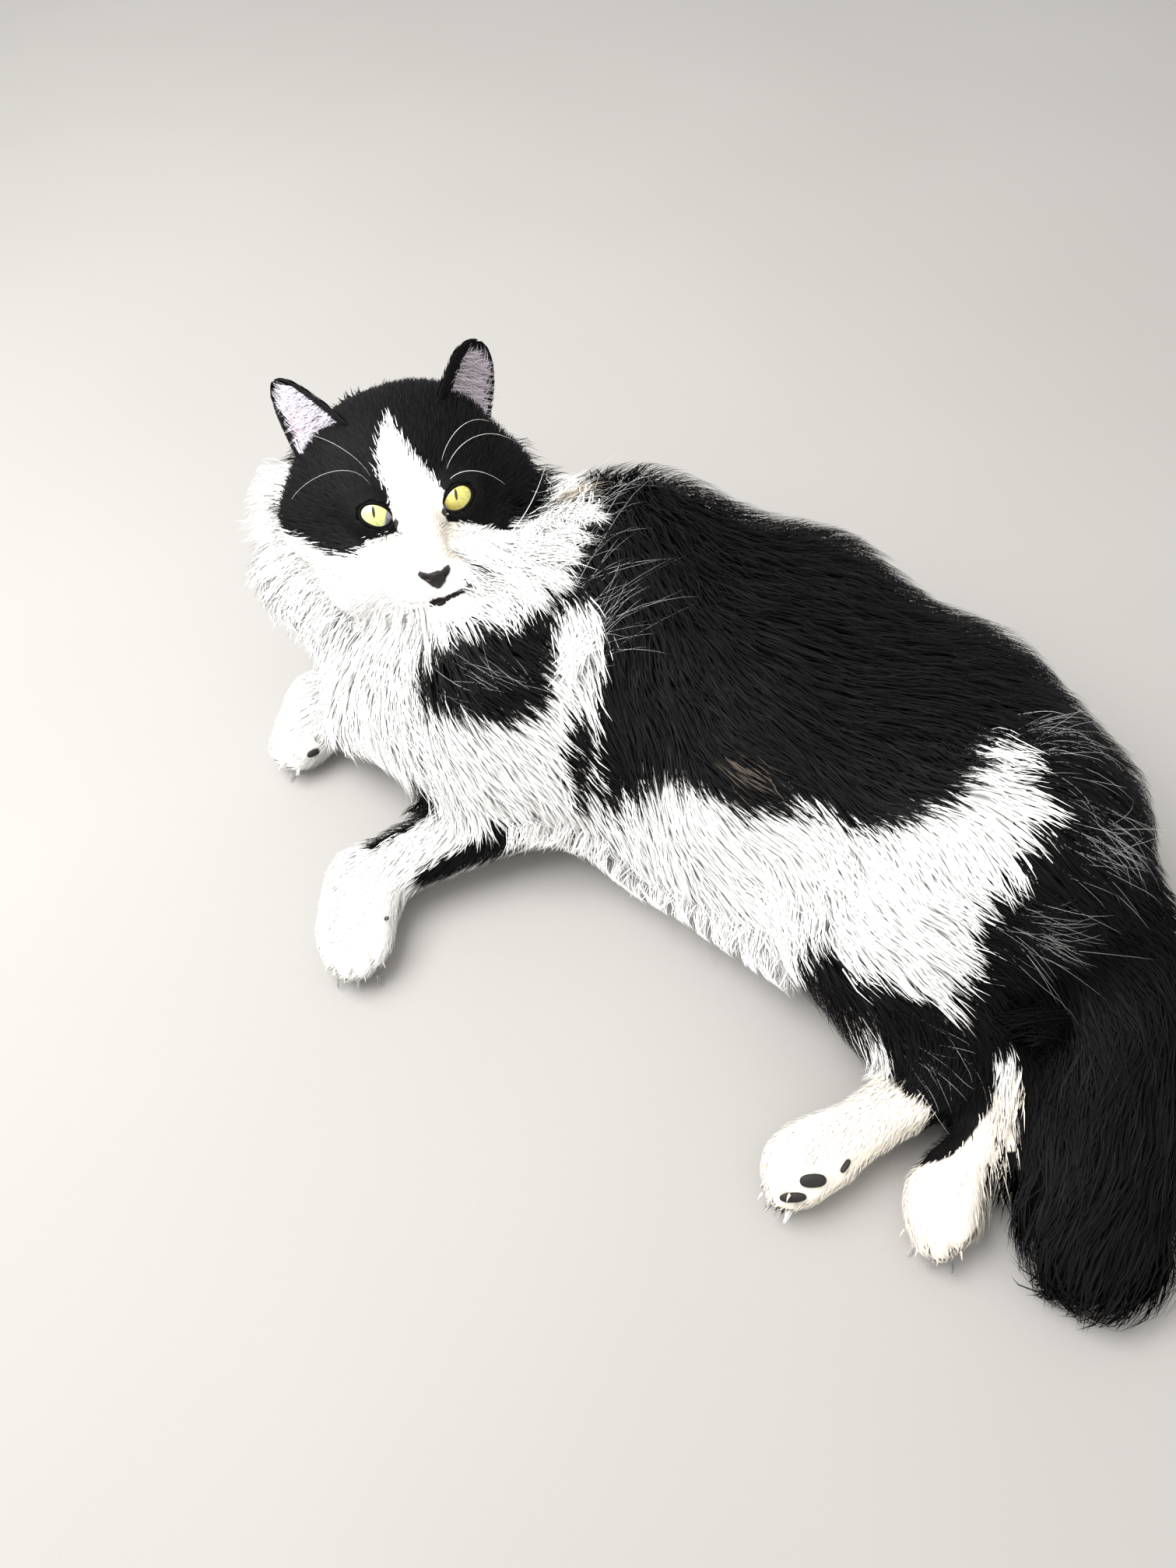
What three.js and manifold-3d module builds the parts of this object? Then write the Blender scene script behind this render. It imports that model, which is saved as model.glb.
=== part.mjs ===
// A long-haired black and white cat lying on its right side with its head raised, life size, in millimetres.
// +Z is up and the floor is z = 0. +X runs from the head to the rump, and the cat's belly and feet face -Y.
// Each solid is the outline of the cat with its coat on, so the skin lies inside it by the depth of the hair.
import * as THREE from "three";
import { mergeVertices } from "three/addons/utils/BufferGeometryUtils.js";
import Module from "manifold-3d";

const wasm = await Module();
wasm.setup();

// ---- driving sizes ----
const GAP = 0.3; // parting between neighbouring solids
const CELL_TRUNK = 27; // facet sizes of the solids
const CELL_NECK = 19;
const CELL_TAIL = 22;
const CELL_HEAD = 12.5;
const CELL_LEG = 13;

const FACING_ELEVATION = 41.3; // the face looks up by this many degrees
const FACING_TURN = 18.4; // and turns from -Y towards +X
const FACING_ROLL = -3; // the cat's left cheek a little lower
const EYE_LEVEL = new THREE.Vector3(-83, 452.7, 180); // midway between the eyes

const EYE_SPACING = 43.8; // between the middles of the eyeballs
const EYE_ASIDE = 1.2; // both turned this far to the cat's left
const EYE_DROP = 1.2; // and this far below the eye level point
const EYE_RADIUS = 10.5;
const EYE_DEPTH = 10.2; // eyeball middle behind the eye level point
const EAR_HALF_WIDTH = 19.5;
const EAR_ROOT = 12; // how far each ear goes on below the fur of the crown
const EAR_THICK = 5;
const EAR_CUP = 11; // depth of the hollow of the ear

// ---- small tools for rounded bodies ----
const v = (x, y, z) => new THREE.Vector3(x, y, z);
const blend = (a, b, k) => {
  const h = Math.max(k - Math.abs(a - b), 0) / k;
  return Math.min(a, b) - (h * h * k) / 4;
};
const joinAll = (fields, k) => (p) => {
  let d = 1e9;
  for (const f of fields) d = d > 1e8 ? f(p) : blend(d, f(p), k);
  return d;
};
// A limb or neck length: a rounded bar from a to b whose radius runs from ra to rb.
const bar = (a, b, ra, rb) => {
  const ab = b.clone().sub(a), l2 = ab.lengthSq(), q = v(0, 0, 0);
  return (p) => {
    q.subVectors(p, a);
    const t = Math.min(1, Math.max(0, q.dot(ab) / l2));
    return q.addScaledVector(ab, -t).length() - (ra + (rb - ra) * t);
  };
};
// An egg with its own three axes (unit vectors) and radii.
const egg = (c, axes, r) => {
  const q = v(0, 0, 0);
  return (p) => {
    q.subVectors(p, c);
    const x = q.dot(axes[0]), y = q.dot(axes[1]), z = q.dot(axes[2]);
    const k0 = Math.hypot(x / r[0], y / r[1], z / r[2]);
    const k1 = Math.hypot(x / (r[0] * r[0]), y / (r[1] * r[1]), z / (r[2] * r[2]));
    return k1 < 1e-9 ? -Math.min(...r) : (k0 * (k0 - 1)) / k1;
  };
};
// Axes of a trunk length: heading along the spine in degrees from +X, and how far the back is raised.
const spineAxes = (heading, raised) => {
  const h = (heading * Math.PI) / 180, r = (raised * Math.PI) / 180;
  const along = v(Math.cos(h), Math.sin(h), 0), side = v(-Math.sin(h), Math.cos(h), 0), up = v(0, 0, 1);
  const dorsal = side.clone().multiplyScalar(Math.cos(r)).addScaledVector(up, Math.sin(r));
  const flank = up.clone().multiplyScalar(Math.cos(r)).addScaledVector(side, -Math.sin(r));
  return [along, dorsal, flank];
};
// Faceted closed surface of a rounded body: one vertex in each cell the surface crosses.
function faceted(field, lo, hi, cell, push) {
  const n = [0, 1, 2].map((i) => Math.ceil((hi.getComponent(i) - lo.getComponent(i)) / cell) + 1);
  const at = (i, j, k) => (k * n[1] + j) * n[0] + i;
  const val = new Float64Array(n[0] * n[1] * n[2]), p = v(0, 0, 0);
  for (let k = 0; k < n[2]; k++) for (let j = 0; j < n[1]; j++) for (let i = 0; i < n[0]; i++) {
    const edge = i == 0 || j == 0 || k == 0 || i == n[0] - 1 || j == n[1] - 1 || k == n[2] - 1;
    val[at(i, j, k)] = edge ? 1e3 : field(p.set(lo.x + i * cell, lo.y + j * cell, lo.z + k * cell)) || 1e-6;
  }
  const verts = [], tris = [], slot = new Map();
  const corner = [[0,0,0],[1,0,0],[0,1,0],[1,1,0],[0,0,1],[1,0,1],[0,1,1],[1,1,1]];
  const edges = [[0,1],[2,3],[4,5],[6,7],[0,2],[1,3],[4,6],[5,7],[0,4],[1,5],[2,6],[3,7]];
  const sides = [[0,1,3,2],[4,5,7,6],[0,1,5,4],[2,3,7,6],[0,2,6,4],[1,3,7,5]];
  const edgeOf = (a, b) => edges.findIndex((e) => e[0] == Math.min(a, b) && e[1] == Math.max(a, b));
  const slope = (s, e = 0.5) => v(
    field(v(s.x + e, s.y, s.z)) - field(v(s.x - e, s.y, s.z)),
    field(v(s.x, s.y + e, s.z)) - field(v(s.x, s.y - e, s.z)),
    field(v(s.x, s.y, s.z + e)) - field(v(s.x, s.y, s.z - e)));
  const settle = (s) => { // move the vertex on to the true surface, then out by the push
    for (let pass = 0; pass < 5; pass++) {
      const d = field(s), g = slope(s), l = g.length();
      if (l > 1e-6 && Math.abs(d) < cell) s.addScaledVector(g, (-d / l) * 0.9 * Math.min(1, 1 / l));
    }
    return s.addScaledVector(slope(s).normalize(), push);
  };
  // one vertex for each sheet of the surface that crosses the cell
  const sheetsOf = (i, j, k) => {
    const key = at(i, j, k);
    if (slot.has(key)) return slot.get(key);
    const f = corner.map(([a, b, c]) => val[at(i + a, j + b, k + c)]);
    const sheet = edges.map(([a, b], e) => ((f[a] < 0) == (f[b] < 0) ? -1 : e));
    const merge = (a, b) => { const x = sheet[a], y = sheet[b]; sheet.forEach((q, e) => { if (q == y) sheet[e] = x; }); };
    for (const q of sides) {
      const cut = q.map((c, t) => edgeOf(c, q[(t + 1) % 4])).filter((e) => sheet[e] >= 0);
      if (cut.length == 2) merge(cut[0], cut[1]);
      if (cut.length == 4) q.forEach((c, t) => { if (f[c] < 0) merge(edgeOf(c, q[(t + 1) % 4]), edgeOf(c, q[(t + 3) % 4])); });
    }
    const made = {};
    for (const id of new Set(sheet)) if (id >= 0) {
      const s = v(0, 0, 0); let m = 0;
      edges.forEach(([a, b], e) => {
        if (sheet[e] != id) return;
        const A = corner[a], B = corner[b], t = f[a] / (f[a] - f[b]);
        s.add(v(i + A[0] + (B[0] - A[0]) * t, j + A[1] + (B[1] - A[1]) * t, k + A[2] + (B[2] - A[2]) * t)); m++;
      });
      settle(s.multiplyScalar(cell / m).add(lo));
      verts.push(s.x, s.y, s.z);
      made[id] = verts.length / 3 - 1;
    }
    slot.set(key, sheet.map((id) => made[id]));
    return slot.get(key);
  };
  const dirs = [[1,0,0],[0,1,0],[0,0,1]];
  for (let k = 0; k < n[2] - 1; k++) for (let j = 0; j < n[1] - 1; j++) for (let i = 0; i < n[0] - 1; i++)
    for (let d = 0; d < 3; d++) {
      if ([i, j, k].some((x, t) => t != d && x == 0)) continue;
      const D = dirs[d], f0 = val[at(i, j, k)], f1 = val[at(i + D[0], j + D[1], k + D[2])];
      if ((f0 < 0) == (f1 < 0)) continue;
      const U = dirs[(d + 1) % 3], W = dirs[(d + 2) % 3];
      const c = [[0,0],[1,0],[1,1],[0,1]].map(([a, b]) => {
        const o = [0, 1, 2].map((x) => a * U[x] + b * W[x]);
        const ca = o[0] + 2 * o[1] + 4 * o[2], cb = ca + D[0] + 2 * D[1] + 4 * D[2];
        return sheetsOf(i - o[0], j - o[1], k - o[2])[edgeOf(ca, cb)];
      });
      const q = f0 < 0 ? c : [c[3], c[2], c[1], c[0]];
      tris.push(q[0], q[1], q[2], q[0], q[2], q[3]);
    }
  return new wasm.Manifold(new wasm.Mesh({ numProp: 3, vertProperties: new Float32Array(verts), triVerts: new Uint32Array(tris) }));
}
const solidOf = (geometry) => {
  const g = mergeVertices(new THREE.BufferGeometry()
    .setAttribute("position", geometry.getAttribute("position").clone())
    .setIndex(geometry.index ? geometry.index.clone() : null), 1e-3);
  return new wasm.Manifold(new wasm.Mesh({
    numProp: 3, vertProperties: new Float32Array(g.attributes.position.array), triVerts: new Uint32Array(g.index.array) }));
};
const ball = (c, axes, r, around, rings) => solidOf(new THREE.SphereGeometry(1, around, rings)
  .applyMatrix4(new THREE.Matrix4().makeScale(...r))
  .applyMatrix4(new THREE.Matrix4().makeBasis(...axes)).translate(c.x, c.y, c.z));
// Everything behind a plane through point c whose normal is n.
const behind = (c, n) => {
  const z = n.clone().normalize(), x = v(0, 0, 1).cross(z);
  if (x.length() < 0.1) x.set(1, 0, 0).cross(z);
  x.normalize();
  const y = z.clone().cross(x), s = 1200;
  return solidOf(new THREE.BoxGeometry(s, s, s).translate(0, 0, -s / 2)
    .applyMatrix4(new THREE.Matrix4().makeBasis(x, y, z)).translate(c.x, c.y, c.z));
};
const FLOOR = behind(v(0, 0, 0), v(0, 0, 1));
// A rounded body inside a box, and the same body grown by a little more than the parting gap.
const around = (field, centre, reach, cell) =>
  faceted(field, centre.clone().sub(reach), centre.clone().add(reach), cell, 0).subtract(FLOOR);
const wider = (field, centre, reach, cell) =>
  faceted(field, centre.clone().sub(reach), centre.clone().add(reach), cell, 1.3 * GAP).subtract(FLOOR);

// ---- head, in its own axes: a to the cat's left, b to the crown, c out of the face ----
const turn = (FACING_TURN * Math.PI) / 180, lift = (FACING_ELEVATION * Math.PI) / 180, roll = (FACING_ROLL * Math.PI) / 180;
const OUT = v(Math.sin(turn) * Math.cos(lift), -Math.cos(turn) * Math.cos(lift), Math.sin(lift));
const LEVEL = v(0, 0, 1).cross(OUT).normalize();
const LEFT = LEVEL.clone().multiplyScalar(Math.cos(roll)).addScaledVector(OUT.clone().cross(LEVEL), Math.sin(roll));
const CROWN = OUT.clone().cross(LEFT);
const HEAD = [LEFT, CROWN, OUT];
const face = (a, b, c) => EYE_LEVEL.clone().addScaledVector(LEFT, a).addScaledVector(CROWN, b).addScaledVector(OUT, c);
const pair = (make) => [make(-1), make(1)];
const headField = joinAll([
  egg(face(0, 20, -48), HEAD, [55, 45, 42]), // skull and the fur of the crown
  egg(face(20, 37.5, -46), HEAD, [34, 27, 26]), // the crown's fur, fuller before the left ear
  egg(face(3.5, 4, -51), HEAD, [76, 44, 35]), // temples and cheek fur
  ...pair((s) => egg(face(s * 22, 3, -19), HEAD, [18, 15, 15])), // brow and eye rims
  bar(face(0, 8, -12), face(0, -29, 10), 12, 8.5), // bridge of the nose
  ...pair((s) => egg(face(s * 8.5, -43, 6), HEAD, [12, 10, 13])), // whisker cushions
  egg(face(0, -55, 0), HEAD, [11, 8.5, 12]), // chin
  ...pair((s) => egg(face(s * 30, -30, -28), HEAD, [28, 27, 26])), // jaw muscles and lower cheeks
  egg(face(0, -42, -26), HEAD, [30, 24, 26]), // throat below the jaw
], 13);

// ---- trunk lengths along the spine: middle, heading, how far the back is raised, and the three radii ----
const trunk = [
  { at: v(-54, 422, 76), heading: -4, raised: 38, r: [74, 92, 68] }, // chest
  { at: v(28, 434, 83), heading: -8, raised: 30, r: [92, 108, 76] }, // ribs
  { at: v(104, 396, 76), heading: -22, raised: 16, r: [95, 112, 74] }, // belly
  { at: v(178, 350, 73), heading: -38, raised: 6, r: [84, 96, 70] }, // loin
  { at: v(224, 302, 66), heading: -58, raised: 0, r: [66, 72, 64] }, // rump
];
// ---- limbs: joint middles ----
const SHOULDER_L = v(-52, 405, 112), ELBOW_L = v(-30, 366, 34), WRIST_L = v(-131, 320, 23), PAW_L = v(-133, 293, 17);
const WRIST_R = v(-166, 446, 26), PAW_R = v(-177, 427, 16), ELBOW_R = v(-112, 440, 34);
const HIP_L = v(212, 300, 92), KNEE_L = v(134, 246, 60), HEEL_L = v(178, 194, 28), TOES_L = v(98, 154, 15);
const KNEE_R = v(150, 226, 34), HEEL_R = v(214, 190, 20), TOES_R = v(162, 132, 15);
const trunkField = joinAll([
  ...trunk.map((t) => egg(t.at, spineAxes(t.heading, t.raised), t.r)),
  bar(face(0, -4, -92), v(-48, 448, 92), 44, 62), // neck
  egg(face(1, -14, -78), HEAD, [99, 73, 26]), // ruff round the face
  bar(face(-10, -58, -66), v(-126, 430, 42), 30, 38), // bib down the front of the chest
  bar(SHOULDER_L, ELBOW_L, 42, 30), // upper arm
  bar(HIP_L, KNEE_L, 60, 36), // left thigh
  bar(v(234, 280, 46), KNEE_R, 50, 32), // right thigh
  bar(v(30, 338, 26), v(104, 272, 30), 26, 24), // loose fur of the belly
], 24);

// ---- legs below the elbow and the knee ----
const paw = (c, heading, r) => egg(c, [v(Math.cos(heading), Math.sin(heading), 0), v(-Math.sin(heading), Math.cos(heading), 0), v(0, 0, 1)], r);
const deg = Math.PI / 180;
const legs = [
  { upper: "forearm_left", lower: "forepaw_left", from: ELBOW_L, joint: WRIST_L, to: PAW_L,
    field: joinAll([bar(ELBOW_L, WRIST_L, 27, 20), bar(WRIST_L, PAW_L, 19, 18), paw(PAW_L, -88 * deg, [34, 24, 19])], 10) },
  { upper: "forearm_right", lower: "forepaw_right", from: ELBOW_R, joint: WRIST_R, to: PAW_R,
    field: joinAll([bar(ELBOW_R, WRIST_R, 28, 21), bar(WRIST_R, PAW_R, 20, 17), paw(PAW_R, -125 * deg, [26, 20, 16])], 10) },
  { upper: "shank_left", lower: "hind_foot_left", from: KNEE_L, joint: HEEL_L, to: TOES_L,
    field: joinAll([bar(KNEE_L, HEEL_L, 34, 21), bar(HEEL_L, TOES_L, 19, 16), paw(TOES_L, -148 * deg, [31, 22, 16])], 10) },
  { upper: "shank_right", lower: "hind_foot_right", from: KNEE_R, joint: HEEL_R, to: TOES_R,
    field: joinAll([bar(KNEE_R, HEEL_R, 30, 20), bar(HEEL_R, TOES_R, 19, 16), paw(TOES_R, -120 * deg, [31, 22, 16])], 10) },
];

// ---- tail: middles of its lengths, half width and half height ----
const TAIL = [
  { at: v(262, 276, 52), w: 38, h: 34 }, { at: v(272, 236, 39), w: 48, h: 34 }, { at: v(272, 194, 32), w: 50, h: 31 },
  { at: v(254, 158, 27), w: 54, h: 27 }, { at: v(233, 126, 22), w: 51, h: 22 }, { at: v(226, 106, 15), w: 40, h: 16 },
];
const tailField = joinAll(TAIL.map((t, i) => {
  const a = TAIL[Math.max(0, i - 1)].at, b = TAIL[Math.min(TAIL.length - 1, i + 1)].at;
  const along = b.clone().sub(a).setZ(0).normalize(), side = v(-along.y, along.x, 0);
  return egg(t.at, [along, side, v(0, 0, 1)], [34, t.w, t.h]);
}), 24);

// ---- ears: a cupped leaf, hollow side forward ----
function ear(s) {
  const across = 8, up = 6, verts = [], tris = [];
  const base = s < 0 ? face(-37, 40, -29) : face(40.5, 40, -31); // the left ear is turned out more
  const tip = s < 0 ? face(-54, 76.3, -32) : face(58.5, 77, -33);
  const rise = tip.clone().sub(base), height = rise.length();
  rise.normalize();
  const side = face(s * 54, 33, -40).sub(face(s * 24, 47, -18)).normalize();
  side.addScaledVector(rise, -side.dot(rise)).normalize();
  const back = rise.clone().cross(side).multiplyScalar(-s); // away from the face
  if (back.dot(OUT) > 0) back.negate();
  const point = (i, j, layer) => {
    const h = j / up, t = (i / across) * 2 - 1;
    const width = EAR_HALF_WIDTH * Math.sqrt(1 - h ** (s < 0 ? 1.6 : 4.5)) * (1 - 0.14 * h) + 1.5 * (1 - h);
    const cup = EAR_CUP * (1 - 0.75 * h) * (1 - t * t);
    return base.clone().addScaledVector(rise, -EAR_ROOT + (height + EAR_ROOT) * h)
      .addScaledVector(side, t * Math.max(width, 1.5))
      .addScaledVector(back, cup + layer * EAR_THICK * (0.35 + 0.65 * (1 - t * t)) * (1 - 0.4 * h));
  };
  for (const layer of [0, 1]) for (let j = 0; j <= up; j++) for (let i = 0; i <= across; i++) {
    const q = point(i, j, layer);
    verts.push(q.x, q.y, q.z);
  }
  const id = (i, j, l) => l * (up + 1) * (across + 1) + j * (across + 1) + i;
  const quad = (a, b, c, d) => tris.push(a, b, c, a, c, d);
  for (let j = 0; j < up; j++) for (let i = 0; i < across; i++) {
    quad(id(i, j, 0), id(i + 1, j, 0), id(i + 1, j + 1, 0), id(i, j + 1, 0));
    quad(id(i, j, 1), id(i, j + 1, 1), id(i + 1, j + 1, 1), id(i + 1, j, 1));
  }
  for (let i = 0; i < across; i++) {
    quad(id(i, 0, 0), id(i, 0, 1), id(i + 1, 0, 1), id(i + 1, 0, 0));
    quad(id(i, up, 0), id(i + 1, up, 0), id(i + 1, up, 1), id(i, up, 1));
  }
  for (let j = 0; j < up; j++) {
    quad(id(0, j, 0), id(0, j + 1, 0), id(0, j + 1, 1), id(0, j, 1));
    quad(id(across, j, 0), id(across, j, 1), id(across, j + 1, 1), id(across, j + 1, 0));
  }
  const g = new THREE.BufferGeometry().setAttribute("position", new THREE.BufferAttribute(new Float32Array(verts), 3)).setIndex(tris);
  let m = solidOf(g);
  if (m.volume() < 0) {
    for (let i = 0; i < tris.length; i += 3) [tris[i + 1], tris[i + 2]] = [tris[i + 2], tris[i + 1]];
    m = solidOf(g.setIndex(tris));
  }
  return m;
}

// ---- solids ----
const solids = {};
const headBox = [face(0, -4, -40), v(95, 95, 95)];
const headAll = around(headField, ...headBox, CELL_HEAD), headWide = wider(headField, ...headBox, CELL_HEAD);
const eyes = pair((s) => face((s * EYE_SPACING) / 2 + EYE_ASIDE, -EYE_DROP, -EYE_DEPTH));
const eyeBall = (c, r) => ball(c, [LEFT, OUT.clone().negate(), CROWN], [r, r, r], 12, 8);
const noseAt = face(0, -36.5, 17.5);
const NOSE = [8.2, 5.6, 5];
let head = headAll;
for (const c of eyes) head = head.subtract(eyeBall(c, EYE_RADIUS + GAP));
head = head.subtract(ball(noseAt, HEAD, NOSE.map((r) => r + GAP), 8, 6));
solids.head = { m: head, mat: "black_fur" };
solids.nose = { m: ball(noseAt, HEAD, NOSE, 8, 6), mat: "nose_leather" };
[["eye_right", 0], ["eye_left", 1]].forEach(([name, i]) => (solids[name] = { m: eyeBall(eyes[i], EYE_RADIUS), mat: "eye" }));
[["ear_right", -1], ["ear_left", 1]].forEach(([name, s]) => (solids[name] = { m: ear(s).subtract(headWide), mat: "black_fur" }));

const trunkBox = [v(70, 370, 110), v(310, 250, 150)];
const trunkAll = around(trunkField, ...trunkBox, CELL_TRUNK), trunkWide = wider(trunkField, ...trunkBox, CELL_TRUNK);
const body = trunkAll.subtract(headWide);
const ruffBox = [v(-96, 468, 110), v(130, 150, 170)];
const ruff = around(trunkField, ...ruffBox, CELL_NECK).subtract(headWide);

// planes that part the trunk into lengths, and eggs that part off the shoulder and the thighs
const planeAt = (i, t) => {
  const a = trunk[i], b = trunk[i + 1], h = (a.heading * (1 - t) + b.heading * t) * deg;
  return [a.at.clone().lerp(b.at, t), v(Math.cos(h), Math.sin(h), 0)];
};
const NECK_CUT = [v(-96, 446, 100), v(0.62, -0.5, -0.6)];
const both = (c, n) => [behind(c, n), behind(c.clone().addScaledVector(n.clone().normalize(), GAP), n)];
const [neckSide, neckSideWide] = both(...NECK_CUT);
const [foreSide, foreSideWide] = both(...planeAt(1, 0.55));
const [midSide, midSideWide] = both(...planeAt(2, 0.9));
const shoulderEgg = [v(-48, 392, 92), spineAxes(-60, 0), [62, 44, 62]];
const thighEgg = [v(188, 268, 96), spineAxes(-150, 0), [98, 62, 58]];
const thighREgg = [v(196, 244, 22), spineAxes(-150, 0), [84, 50, 34]];
const cutter = ([c, a, r], g) => ball(c, a, r.map((x) => x + g), 14, 8);
const shoulder = body.intersect(cutter(shoulderEgg, 0)).subtract(neckSideWide);
const thigh = body.intersect(cutter(thighEgg, 0));
const thighR = body.intersect(cutter(thighREgg, 0)).subtract(cutter(thighEgg, GAP));
const rest = body.subtract(cutter(shoulderEgg, GAP)).subtract(cutter(thighEgg, GAP)).subtract(cutter(thighREgg, GAP));
solids.neck = { m: ruff.intersect(neckSide), mat: "white_fur" };
solids.chest = { m: rest.subtract(neckSideWide).intersect(foreSide), mat: "white_fur" };
solids.belly = { m: rest.subtract(foreSideWide).subtract(neckSideWide).intersect(midSide), mat: "white_fur" };
solids.rump = { m: rest.subtract(midSideWide), mat: "black_fur" };
solids.shoulder_left = { m: shoulder, mat: "black_fur" };
solids.thigh_left = { m: thigh, mat: "white_fur" };
solids.thigh_right = { m: thighR, mat: "black_fur" };

let taken = trunkWide.add(headWide).add(wider(trunkField, ...ruffBox, CELL_NECK).intersect(neckSideWide));
for (const L of legs) { // parted at the wrist or the heel, square to the bend
  const box = [v(30, 300, 50), v(260, 220, 75)];
  const up = L.from.clone().sub(L.joint).normalize(), down = L.to.clone().sub(L.joint).normalize();
  const cut = L.joint.clone().addScaledVector(up, 5), n = up.clone().sub(down).normalize();
  const free = around(L.field, ...box, CELL_LEG).subtract(taken);
  solids[L.lower] = { m: free.intersect(behind(cut.clone().addScaledVector(n, -GAP), n)), mat: "white_fur" };
  solids[L.upper] = { m: free.subtract(behind(cut, n)), mat: L.upper.startsWith("shank") ? "black_fur" : "white_fur" };
  taken = taken.add(wider(L.field, ...box, CELL_LEG));
}
let tailLeft = around(tailField, v(250, 190, 40), v(140, 170, 80), CELL_TAIL).subtract(taken);
const TAIL_CUTS = [1.5, 3.4];
TAIL_CUTS.forEach((t, i) => {
  const k = Math.floor(t), a = TAIL[k].at, b = TAIL[k + 1].at;
  const [near, nearWide] = both(a.clone().lerp(b, t - k), b.clone().sub(a).setZ(0));
  solids["tail_" + (i + 1)] = { m: tailLeft.intersect(near), mat: "black_fur" };
  tailLeft = tailLeft.subtract(nearWide);
});
solids["tail_" + (TAIL_CUTS.length + 1)] = { m: tailLeft, mat: "black_fur" };

// ---- meshes, with the origin under the middle of the outline ----
const MATERIALS = {
  black_fur: new THREE.MeshStandardMaterial({ name: "black_fur", color: 0x0d0c0d, roughness: 0.75, metalness: 0 }),
  white_fur: new THREE.MeshStandardMaterial({ name: "white_fur", color: 0xf1eee8, roughness: 0.85, metalness: 0 }),
  nose_leather: new THREE.MeshStandardMaterial({ name: "nose_leather", color: 0x171314, roughness: 0.5, metalness: 0 }),
  eye: new THREE.MeshStandardMaterial({ name: "eye", color: 0xb5b04a, roughness: 0.08, metalness: 0 }),
};
const group = new THREE.Group();
group.name = "lying_cat";
const box = new THREE.Box3();
for (const [name, { m, mat }] of Object.entries(solids)) {
  const pieces = m.decompose().sort((a, b) => b.volume() - a.volume());
  const out = pieces[0].getMesh();
  const g = new THREE.BufferGeometry();
  g.setAttribute("position", new THREE.BufferAttribute(new Float32Array(out.vertProperties), 3));
  g.setIndex(new THREE.BufferAttribute(new Uint32Array(out.triVerts), 1));
  g.computeVertexNormals();
  const mesh = new THREE.Mesh(g, MATERIALS[mat]);
  mesh.name = name;
  group.add(mesh);
  g.computeBoundingBox();
  box.union(g.boundingBox);
}
const shift = box.getCenter(v(0, 0, 0)).setZ(box.min.z).negate();
for (const mesh of group.children) mesh.geometry.translate(shift.x, shift.y, shift.z);
export default group;
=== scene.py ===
import math
import bpy
import bmesh
import numpy as np
import openvdb as vdb
from mathutils import Matrix, Vector
from mathutils.kdtree import KDTree


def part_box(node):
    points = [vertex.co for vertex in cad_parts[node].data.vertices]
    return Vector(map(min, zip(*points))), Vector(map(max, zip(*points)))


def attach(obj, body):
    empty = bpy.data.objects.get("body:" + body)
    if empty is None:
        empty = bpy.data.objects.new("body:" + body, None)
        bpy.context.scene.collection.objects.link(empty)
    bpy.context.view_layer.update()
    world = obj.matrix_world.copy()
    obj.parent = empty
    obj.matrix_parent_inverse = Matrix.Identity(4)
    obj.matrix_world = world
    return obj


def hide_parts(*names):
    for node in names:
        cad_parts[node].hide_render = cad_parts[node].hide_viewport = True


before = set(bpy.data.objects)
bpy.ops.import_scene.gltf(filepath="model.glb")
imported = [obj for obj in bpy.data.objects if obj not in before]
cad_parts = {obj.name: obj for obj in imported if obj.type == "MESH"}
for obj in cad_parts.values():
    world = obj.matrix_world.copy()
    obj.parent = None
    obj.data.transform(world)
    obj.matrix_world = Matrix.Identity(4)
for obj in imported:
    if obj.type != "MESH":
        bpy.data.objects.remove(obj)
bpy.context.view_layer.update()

# ---- Camera: stands over the floor in front of the cat and looks down at it ----
# It is aimed at a place on the floor behind the chest, and is held a little crooked, as by hand.
MM = 0.001
EYE_PLACES = {s: sum(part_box(name), Vector()) / 2 for s, name in ((-1, "eye_right"), (1, "eye_left"))}
EYE_MIDDLE = (EYE_PLACES[-1] + EYE_PLACES[1]) / 2
AIM_FROM_EYES = (0.0841, -0.0650)  # metres, towards the flank and the tail
AIM = Vector((EYE_MIDDLE.x + AIM_FROM_EYES[0], EYE_MIDDLE.y + AIM_FROM_EYES[1], 0.0))
AIM_DISTANCE = 0.7056
LOOKING_DOWN = math.radians(56)
HELD_CROOKED = math.radians(-2.6)
LENS = 26.08
NEAREST_SEEN = 0.02
camera_data = bpy.data.cameras.new("camera")
camera_data.lens = LENS
camera_data.clip_start = NEAREST_SEEN
camera = bpy.data.objects.new("camera", camera_data)
bpy.context.collection.objects.link(camera)
camera.matrix_world = (
    Matrix.Translation(AIM + AIM_DISTANCE * Vector((0, -math.cos(LOOKING_DOWN), math.sin(LOOKING_DOWN))))
    @ Matrix.Rotation(math.pi / 2 - LOOKING_DOWN, 4, "X")
    @ Matrix.Rotation(HELD_CROOKED, 4, "Z"))
bpy.context.scene.camera = camera

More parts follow.
